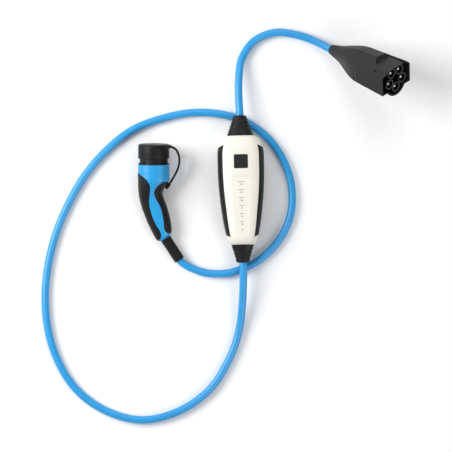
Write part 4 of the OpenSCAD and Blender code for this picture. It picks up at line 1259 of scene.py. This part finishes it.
@dataclass
class SupplyPlug:
    """The faceted supply plug, drawn with its pins along +Z from its face."""

    half_w: float = 42.0
    top: tuple[tuple[float, float], ...] = ((18.6, 36.8), (-7.6, 38.7))
    rib: tuple[float, float] = (26.0, 22.0)
    side_top: float = 18.3
    low: float = -24.0
    draft: float = 0.1
    lobe_y: float = -10.5
    lobe_r: float = 28.5
    wall: float = 3.0
    shell_len: float = 81.0
    cover_len: float = 75.0
    tail_len: float = 24.0
    tail_r: float = 16.0
    tail_tip_r: float = 10.0
    tail_groove: float = 0.7
    cover_bore: float = 8.2
    cover_gap: float = 0.2
    cover_lip: float = 0.6
    rim_gap: float = 0.6
    rim_bead: float = 0.62
    rim_sunk: float = 0.9
    mouth_depth: float = 26.0
    key: tuple[float, float] = (-20.0, 26.5)
    key_y: float = 27.4
    key_len: float = 40.0
    key_slope: float = 4.0
    key_floor: float = 1.4
    slot_w: float = 4.0
    slot_y: float = 18.0
    slot_len: float = 38.0
    pin_pcd: float = 39.0
    pin_count: int = 5
    well_r: float = 9.0
    screw_inset: float = 10.5
    screw_z: float = -29.0
    tail_at: tuple[float, float, float] = (192.4, 284.6, 21.5)
    heading: float = -29.8
    pitch: float = 37.2
    roll: float = 43.7

    def __post_init__(self) -> None:
        """Works out where the plug lies, from the place of its tail's end."""
        turned = (Matrix.Rotation(math.radians(self.heading), 4, "Z")
                  @ Matrix.Rotation(math.radians(-self.pitch), 4, "Y")
                  @ Matrix.Rotation(math.radians(-self.roll), 4, "X")
                  @ Matrix.Rotation(math.radians(90), 4, "Z") @ Matrix.Rotation(math.radians(90), 4, "X"))
        self.length = self.shell_len + self.cover_len + self.tail_len
        tail = turned @ Vector((0, 0, -self.length))
        self.placement = Matrix.Translation(Vector(self.tail_at) - tail) @ turned
        self.bevel_turn = math.atan2(self.half_w - self.rib[0], self.rib[1] - self.side_top)
        self.crest = max(y for _, y in self.top)
        w, rib = self.half_w, self.rib
        self.corners = ((w, self.low), (w, self.side_top), *self.top, (-rib[0], rib[1]), (-w, self.side_top),
                        (-w, self.low))

    def point(self, z: float) -> Vector:
        """A point on the plug's axis, in the model's frame."""
        return self.placement @ Vector((0, 0, z))

    def reach(self, angle: float) -> float:
        """Distance from the axis to the outline: the bevelled body with its rib, or the round lobe."""
        way = Vector((math.cos(angle), math.sin(angle)))
        flat = 0.0
        for start, end in zip(self.corners, self.corners[1:] + self.corners[:1]):
            a, b = Vector(start), Vector(end)
            if cross(a, way) >= 0 and cross(way, b) > 0:
                flat = cross(a, b - a) / cross(way, b - a)
        b = self.lobe_y * math.sin(angle)
        lobe = b + math.sqrt(b * b - self.lobe_y ** 2 + self.lobe_r ** 2)
        return max(flat, lobe)

    def drafted(self, z: float) -> float:
        """How much of its full width the shell has at a height."""
        return 1 + self.draft * min(0.0, z) / self.shell_len

    def outline(self, sides: int) -> list[tuple[float, float]]:
        """Directions and distances of the outline, with its corners a little rounded."""
        ways = turns(sides)
        raw = [self.reach(a) for a in ways]
        spread = (0.12, 0.2, 0.36, 0.2, 0.12)
        soft = [sum(w * raw[(k + d - 2) % sides] for d, w in enumerate(spread)) for k in range(sides)]
        return list(zip(ways, soft))

    def ring(self, outline: Sequence[tuple[float, float]], z: float, inset: float,
             ceiling: float = math.inf) -> list[Vector]:
        """A ring of the plug at a height, drawn in by inset and kept under a ceiling at the key."""
        made = []
        for a, r in outline:
            p = polar(r * self.drafted(z) - inset, a, z)
            if self.key[0] - self.wall < p.x < self.key[1] + self.wall:
                p.y = min(p.y, ceiling)
            made.append(p)
        return made

    def shell(self) -> Object:
        """The drafted front shell with its open mouth, keyed top, slot and screw holes."""
        outline = self.outline(360)
        floor = self.key_y
        under_key = floor - self.key_floor
        behind_key = -self.key_len - self.key_slope - self.wall
        w = self.wall
        outer = [(-self.shell_len, 0.9), (-self.shell_len, 0.35), (-self.shell_len + 0.5, 0.0)]
        outer += [(z, 0.0) for z in even(-self.shell_len + 6, -4, 12)]
        outer += [(-0.8, 0.0), (-0.3, 0.15), (0.0, 0.6)]
        rings = [self.ring(outline, z, inset) for z, inset in outer]
        rings += [self.ring(outline, z, inset, under_key) for z, inset in (
            (0.0, w - 0.5), (-0.4, w - 0.1), (-1.2, w), (-self.mouth_depth, w), (-self.mouth_depth, w + 12))]
        rings += [self.ring(outline, z, inset, under_key) for z, inset in (
            (-self.mouth_depth - 6, w + 12), (-self.mouth_depth - 6, w), (behind_key, w))]
        rings += [self.ring(outline, z, w) for z in (behind_key - 0.2, -self.shell_len + 0.2)]
        body = Meshwork.loft("plug_front", rings, loop=True)
        back = -self.key_len - self.key_slope
        edge = self.crest * self.drafted(back)
        profile = [(floor, 9), (floor, -self.key_len + 0.8), (floor + 0.8, -self.key_len),
                   (edge - 1.0, back), (edge + 2, back - 3), (edge + 6, 9)]
        recess = Meshwork.loft("recess", [[Vector((x, y, z)) for y, z in profile] for x in self.key])
        slot = Meshwork.rounded_box(
            "slot", Vector((self.key[1] - self.slot_w, self.slot_y, -self.slot_len)),
            Vector((self.key[1] - 0.05, self.crest, 9)), 0.4)
        return Meshwork.cut(body, recess, slot, *self.screw_holes())

    def screw_holes(self) -> list[Object]:
        """Flared shapes that cut the two screw holes into the bevels."""
        made = []
        for side in (-1, 1):
            hole = Meshwork.lathe("hole", [
                (0.01, -4), (2.6, -4), (2.6, -0.3), (3.0, 0.4), (3.4, 3), (0.01, 3)], 36)
            turn = Matrix.Rotation(side * (self.bevel_turn - math.pi / 2), 4, "Z")
            height = mix(self.side_top, self.rib[1], self.screw_inset / (self.half_w - self.rib[0]))
            height *= self.drafted(self.screw_z)
            place = Matrix.Translation((side * (self.half_w - self.screw_inset), height, self.screw_z))
            Meshwork.place(hole, place @ turn @ Matrix.Rotation(math.radians(-90), 4, "X"))
            made.append(hole)
        return made

    @staticmethod
    def drawn_in(share: float, angle: float) -> float:
        """How far the cover has drawn in: full on the keyed side and waisted on the opposite one."""
        eased = smoothstep(0, 1, share)
        waisted = mix(share, eased, 0.6)
        full = mix(share ** 1.8, eased, 0.3)
        return mix(waisted, full, (1 + math.sin(angle)) / 2)

    def cover(self) -> Object:
        """The tapered rear cover, which blends from the faceted outline to the round tail."""
        outline = self.outline(240)
        steps = 44

        def ring(share: float, inset: float, z: float) -> list[Vector]:
            """A ring of the cover at a share of its length."""
            made = []
            for a, r in outline:
                reach = mix(r * (1 - self.draft), self.tail_r, self.drawn_in(share, a)) - inset
                made.append(polar(reach, a, z))
            return made

        def height(share: float) -> float:
            """Where a share of the cover's length lies along Z."""
            return start - self.cover_lip - share * (self.cover_len - 2 * self.cover_lip)

        start = -self.shell_len - self.cover_gap
        end = start - self.cover_len + self.cover_gap
        rings = [ring(0, self.wall, start), ring(0, 0.9, start), ring(0, 0.3, start - 0.12)]
        rings += [ring(i / steps, 0.0, height(i / steps)) for i in range(steps + 1)]
        rings.append(ring(1, 0.4, end - 0.05))
        for z in (end - 0.1, end + 6):
            rings.append([polar(self.cover_bore, a, z) for a, _ in outline])
        rings += [ring(i / 10, self.wall, height(i / 10)) for i in range(9, 0, -1)]
        return Meshwork.loft("plug_rear", rings, loop=True)

    def tail(self) -> Object:
        """The ribbed rubber tail, a tube whose radius swells at each rib."""
        first_phase, sharpness, edge_from, edge_bend = 0.9, 0.6, 0.955, -0.5
        graph = Graph("ribbed tail")
        ribs = graph.size("Ribs", 4)
        base = graph.size("Base Radius", (self.tail_r - 0.15) * MM)
        tip = graph.size("Tip Radius", self.tail_tip_r * MM)
        deep = graph.size("Groove Depth", self.tail_groove * MM)
        z = -self.shell_len - self.cover_len
        line = graph.add("GeometryNodeCurvePrimitiveLine", {
            "Start": (0, 0, (z - 0.15) * MM), "End": (0, 0, (z - self.tail_len) * MM)})
        fine = graph.add("GeometryNodeResampleCurve", {"Curve": line.outputs[0], "Count": 145})
        along = graph.add("GeometryNodeSplineParameter").outputs["Factor"]
        phase = graph.math("MULTIPLY", graph.math("MULTIPLY", along, ribs), 2 * math.pi)
        wave = graph.math("SINE", graph.math("SUBTRACT", phase, first_phase * math.pi))
        rise = graph.math("POWER", graph.math("MULTIPLY", graph.math("ADD", wave, 1.0), 0.5), sharpness)
        groove = graph.math("MULTIPLY", graph.math("SUBTRACT", rise, 1.0), deep)
        cone = graph.math("ADD", base, graph.math("MULTIPLY", along, graph.math("SUBTRACT", tip, base)))
        last = graph.math("MAXIMUM", graph.math("SUBTRACT", along, edge_from), 0.0)
        edge = graph.math("MULTIPLY", graph.math("MULTIPLY", last, last), edge_bend)
        radius = graph.math("ADD", graph.math("ADD", cone, groove), edge)
        circle = graph.add("GeometryNodeCurvePrimitiveCircle", {"Resolution": 64, "Radius": 1.0})
        tube = graph.add("GeometryNodeCurveToMesh", {
            "Curve": fine.outputs[0], "Profile Curve": circle.outputs[0], "Scale": radius, "Fill Caps": True})
        obj = Meshwork.new("ribbed_tail", [Vector((0, 0, 0))], [])
        return graph.run(obj, tube.outputs[0], Finishes.of(Slot.PLUG))

    def well_rims(self) -> Object:
        """The fine rims of the five wells about the pins, painted light grey as a painted highlight."""
        graph = Graph("well rims")
        count = graph.size("Count", self.pin_count)
        pitch = graph.size("Circle Radius", self.pin_pcd / 2 * MM)
        radius = graph.size("Rim Radius", (self.well_r + self.rim_gap) * MM)
        bead = graph.size("Bead", self.rim_bead * MM)
        points = graph.add("GeometryNodeMeshCircle", {"Vertices": count, "Radius": pitch})
        loop = graph.add("GeometryNodeCurvePrimitiveCircle", {"Resolution": 56, "Radius": radius})
        round_bead = graph.add("GeometryNodeCurvePrimitiveCircle", {"Resolution": 12, "Radius": bead})
        rim = graph.add("GeometryNodeCurveToMesh", {
            "Curve": loop.outputs[0], "Profile Curve": round_bead.outputs[0]})
        rims = graph.add("GeometryNodeInstanceOnPoints", {
            "Points": points.outputs[0], "Instance": rim.outputs[0]})
        obj = Meshwork.new("well_rims", [Vector((0, 0, 0))], [])
        graph.run(obj, rims.outputs[0], Finishes.RIM_HIGHLIGHT.material())
        turn = Matrix.Translation((0, 0, -self.rim_sunk)) @ Matrix.Rotation(math.radians(270), 4, "Z")
        return Meshwork.place(obj, turn)

    def build(self, dresser: Dresser) -> list[Object]:
        """Builds and dresses the plug.

        Args:
            dresser: What gives the pieces their finish.

        Returns:
            The pieces on the short cable.
        """
        shell, cover, tail, rims = self.shell(), self.cover(), self.tail(), self.well_rims()
        for obj in (shell, cover, tail, rims):
            Meshwork.place(obj, self.placement)
        dresser.piece(shell, Slot.PLUG, "plug_shell")
        dresser.piece(cover, Slot.PLUG, "plug_cover")
        dresser.piece(tail, Slot.RUBBER, "plug_tail", finish=Finishes.BY_SLOT[Slot.PLUG])
        # The well rims carry a painted highlight in their light grey.
        dresser.piece(rims, Slot.NOSE, finish=Finishes.RIM_HIGHLIGHT)
        return [cover, tail]


@dataclass
class Cables:
    """Both free cables, each on one smooth line from the box to its far end."""

    box: ControlBox
    connector: VehicleConnector
    plug: SupplyPlug
    diameter: float = 16.0
    inset: float = 18.0
    inside: float = 22.0
    lead: float = 10.0

    def long_route(self) -> list[Vector]:
        """The line of the cable from the box's lower boot to the connector."""
        box, floor = self.box, self.diameter / 2 + 0.2
        tip = box.low_boot_len
        start = [(0, box.y_low - d, box.axis_z) for d in (-self.inside, 0, tip, tip + self.lead)]
        middle = [
            (0, -185, box.axis_z - 2.5), (-3, -235, 21), (-11, -290, floor + 2), (-32, -348, floor),
            (-75, -412, floor), (-142, -456, floor), (-219, -471, floor), (-295, -448, floor),
            (-356, -398, floor), (-396, -320, floor), (-410, -230, floor), (-400, -135, floor),
            (-368, -42, floor), (-312, 50, floor), (-233, 122, floor), (-150, 153, floor), (-75, 161, floor),
            (0, 145, floor), (60, 102, floor), (97, 37, floor), (104, -35, floor), (82, -97, floor),
            (36, -145, floor), (-20, -170, floor), (-70, -172, floor),
            (-105, -161, floor + 1.2), (-123.2, -150.2, floor + 2.2)]
        boot = self.connector.heel_boot_len
        end = [tuple(self.connector.heel_point(d)) for d in (boot, boot / 2, 0, -self.inset)]
        return [Vector(p) for p in spline(start + middle + end, 8)]

    def short_route(self) -> list[Vector]:
        """The line of the cable from the box's upper boot to the plug."""
        box, floor = self.box, self.diameter / 2 + 0.2
        tip = box.top_boot_len
        start = [(0, box.y_top + d, box.axis_z) for d in (-self.inside, 0, tip, tip + self.lead)]
        middle = [(-1, 190, box.axis_z - 3), (0, 228, 22), (7, 270, floor + 4), (34, 307, floor),
                  (77, 323, floor), (122, 317, floor), (157, 304, floor + 1.2)]
        tail = self.plug.tail_len
        end = [tuple(self.plug.point(d - self.plug.length)) for d in (-self.lead, 0, tail, tail + self.inset)]
        return [Vector(p) for p in spline(start + middle + end, 10)]

    def sheath(self, name: str, route: Sequence[Vector]) -> Object:
        """A round cable along a route, as one open curve."""
        curve = bpy.data.curves.new(name, "CURVE")
        curve.dimensions = "3D"
        curve.bevel_depth = self.diameter / 2 * MM
        curve.bevel_resolution = 7
        curve.use_fill_caps = True
        line = curve.splines.new("POLY")
        line.points.add(len(route) - 1)
        for point, place in zip(line.points, route):
            point.co = (*(place * MM), 1.0)
        line.use_smooth = True
        obj = bpy.data.objects.new(name, curve)
        bpy.context.scene.collection.objects.link(obj)
        return obj

    @staticmethod
    def length(route: Sequence[Vector]) -> float:
        """Length of a route, in metres."""
        return sum((b - a).length for a, b in zip(route, route[1:])) * MM

    def build(self, dresser: Dresser, on_connector: Sequence[Object],
              on_plug: Sequence[Object]) -> None:
        """Builds and dresses both cables, and logs their lengths.

        Args:
            dresser: What gives the pieces their finish.
            on_connector: Pieces at the long cable's far end; not used.
            on_plug: Pieces at the short cable's far end; not used.
        """
        ends = (
            ("vehicle_cable", "long_cord", self.long_route(), self.box.y_low, "connector", on_connector),
            ("supply_cable", "short_cord", self.short_route(), self.box.y_top, "plug", on_plug))
        for name, node, route, exit_y, far_end, pieces in ends:
            cable = dresser.piece(self.sheath(name, route), Slot.CABLE, node)
            self.length(route)
            LOG.info("%s is %.3f m long", name, self.length(route))


@dataclass
class Studio:
    """The pale floor, the soft lights and the camera over the charger."""

    middle: tuple[float, float, float] = (-33.3, -75.2, 25.0)
    frame_w: float = 931.0
    distance: float = 5200.0
    elevation: float = 89.0
    roll: float = -1.28
    sensor: float = 36.0
    floor_side: float = 6000.0
    floor_drop: float = 0.4
    surroundings: float = 0.34
    lamps: tuple[tuple[str, tuple[float, float, float], float, float], ...] = (
        ("key", (-1.85, 0.5, 1.6), 1.5, 60.0), ("rear", (0.2, 2.0, 1.7), 1.8, 18.0),
        ("fill", (1.6, -1.5, 1.8), 1.8, 30.0))

    def floor(self) -> None:
        """A wide plain floor under the object."""
        side = self.floor_side
        obj = Meshwork.new("floor", [Vector((x, y, -self.floor_drop)) for x, y in (
            (-side, -side), (side, -side), (side, side), (-side, side))], [[0, 1, 2, 3]])
        obj.data.materials.append(Finishes.FLOOR.material())

    def light(self, name: str, at: tuple[float, float, float], size: float, power: float) -> None:
        """A soft square light that faces the object.

        Args:
            name: The light's name.
            at: Its place, in metres.
            size: Its side, in metres.
            power: Its power in watts.
        """
        lamp = bpy.data.lights.new(name, "AREA")
        lamp.shape = "SQUARE"
        lamp.size = size
        lamp.energy = power
        obj = bpy.data.objects.new(name, lamp)
        obj.location = at
        target = Vector(self.middle) * MM
        obj.rotation_euler = (target - Vector(at)).to_track_quat("-Z", "Y").to_euler()
        bpy.context.scene.collection.objects.link(obj)

    def lights(self) -> None:
        """A large key light from the left, weak lights from behind and the right, and pale surroundings."""
        for name, at, size, power in self.lamps:
            self.light(name, at, size, power)
        world = bpy.data.worlds.new("studio")
        bpy.context.scene.world = world
        world.use_nodes = True
        back = world.node_tree.nodes["Background"]
        back.inputs["Color"].default_value = (1.0, 1.0, 1.0, 1.0)
        back.inputs["Strength"].default_value = self.surroundings

    def camera(self) -> None:
        """A long lens from above, tipped a little towards the foot of the picture."""
        data = bpy.data.cameras.new("camera")
        data.sensor_width = self.sensor
        data.lens = self.sensor * self.distance / self.frame_w
        data.clip_end = 50
        obj = bpy.data.objects.new("camera", data)
        tip = math.radians(self.elevation)
        back = Vector((0, -math.cos(tip), math.sin(tip)))
        up = Vector((0, math.sin(tip), math.cos(tip)))
        right = Vector((1, 0, 0))
        turn = Matrix((right, up, back)).transposed().to_4x4()
        roll = Matrix.Rotation(math.radians(self.roll), 4, "Z")
        obj.matrix_world = Matrix.Translation((Vector(self.middle) + back * self.distance) * MM) @ turn @ roll
        bpy.context.scene.collection.objects.link(obj)
        bpy.context.scene.camera = obj

    def build(self) -> None:
        """Sets the stage."""
        self.floor()
        self.lights()
        self.camera()
        bpy.context.scene.view_settings.view_transform = "Standard"


def main() -> None:
    """Builds every sub-assembly in order and reports each piece."""
    logging.basicConfig(level=logging.INFO, format="%(name)s: %(message)s")
    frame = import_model()
    studio = Studio()
    studio.build()
    dresser = Dresser()
    box, connector, plug = ControlBox(), VehicleConnector(), SupplyPlug()
    box.build(dresser)
    on_connector = connector.build(dresser)
    on_plug = plug.build(dresser)
    Cables(box, connector, plug).build(dresser, on_connector, on_plug)
    dresser.carried_over(frame)


if __name__ == "__main__":
    main()
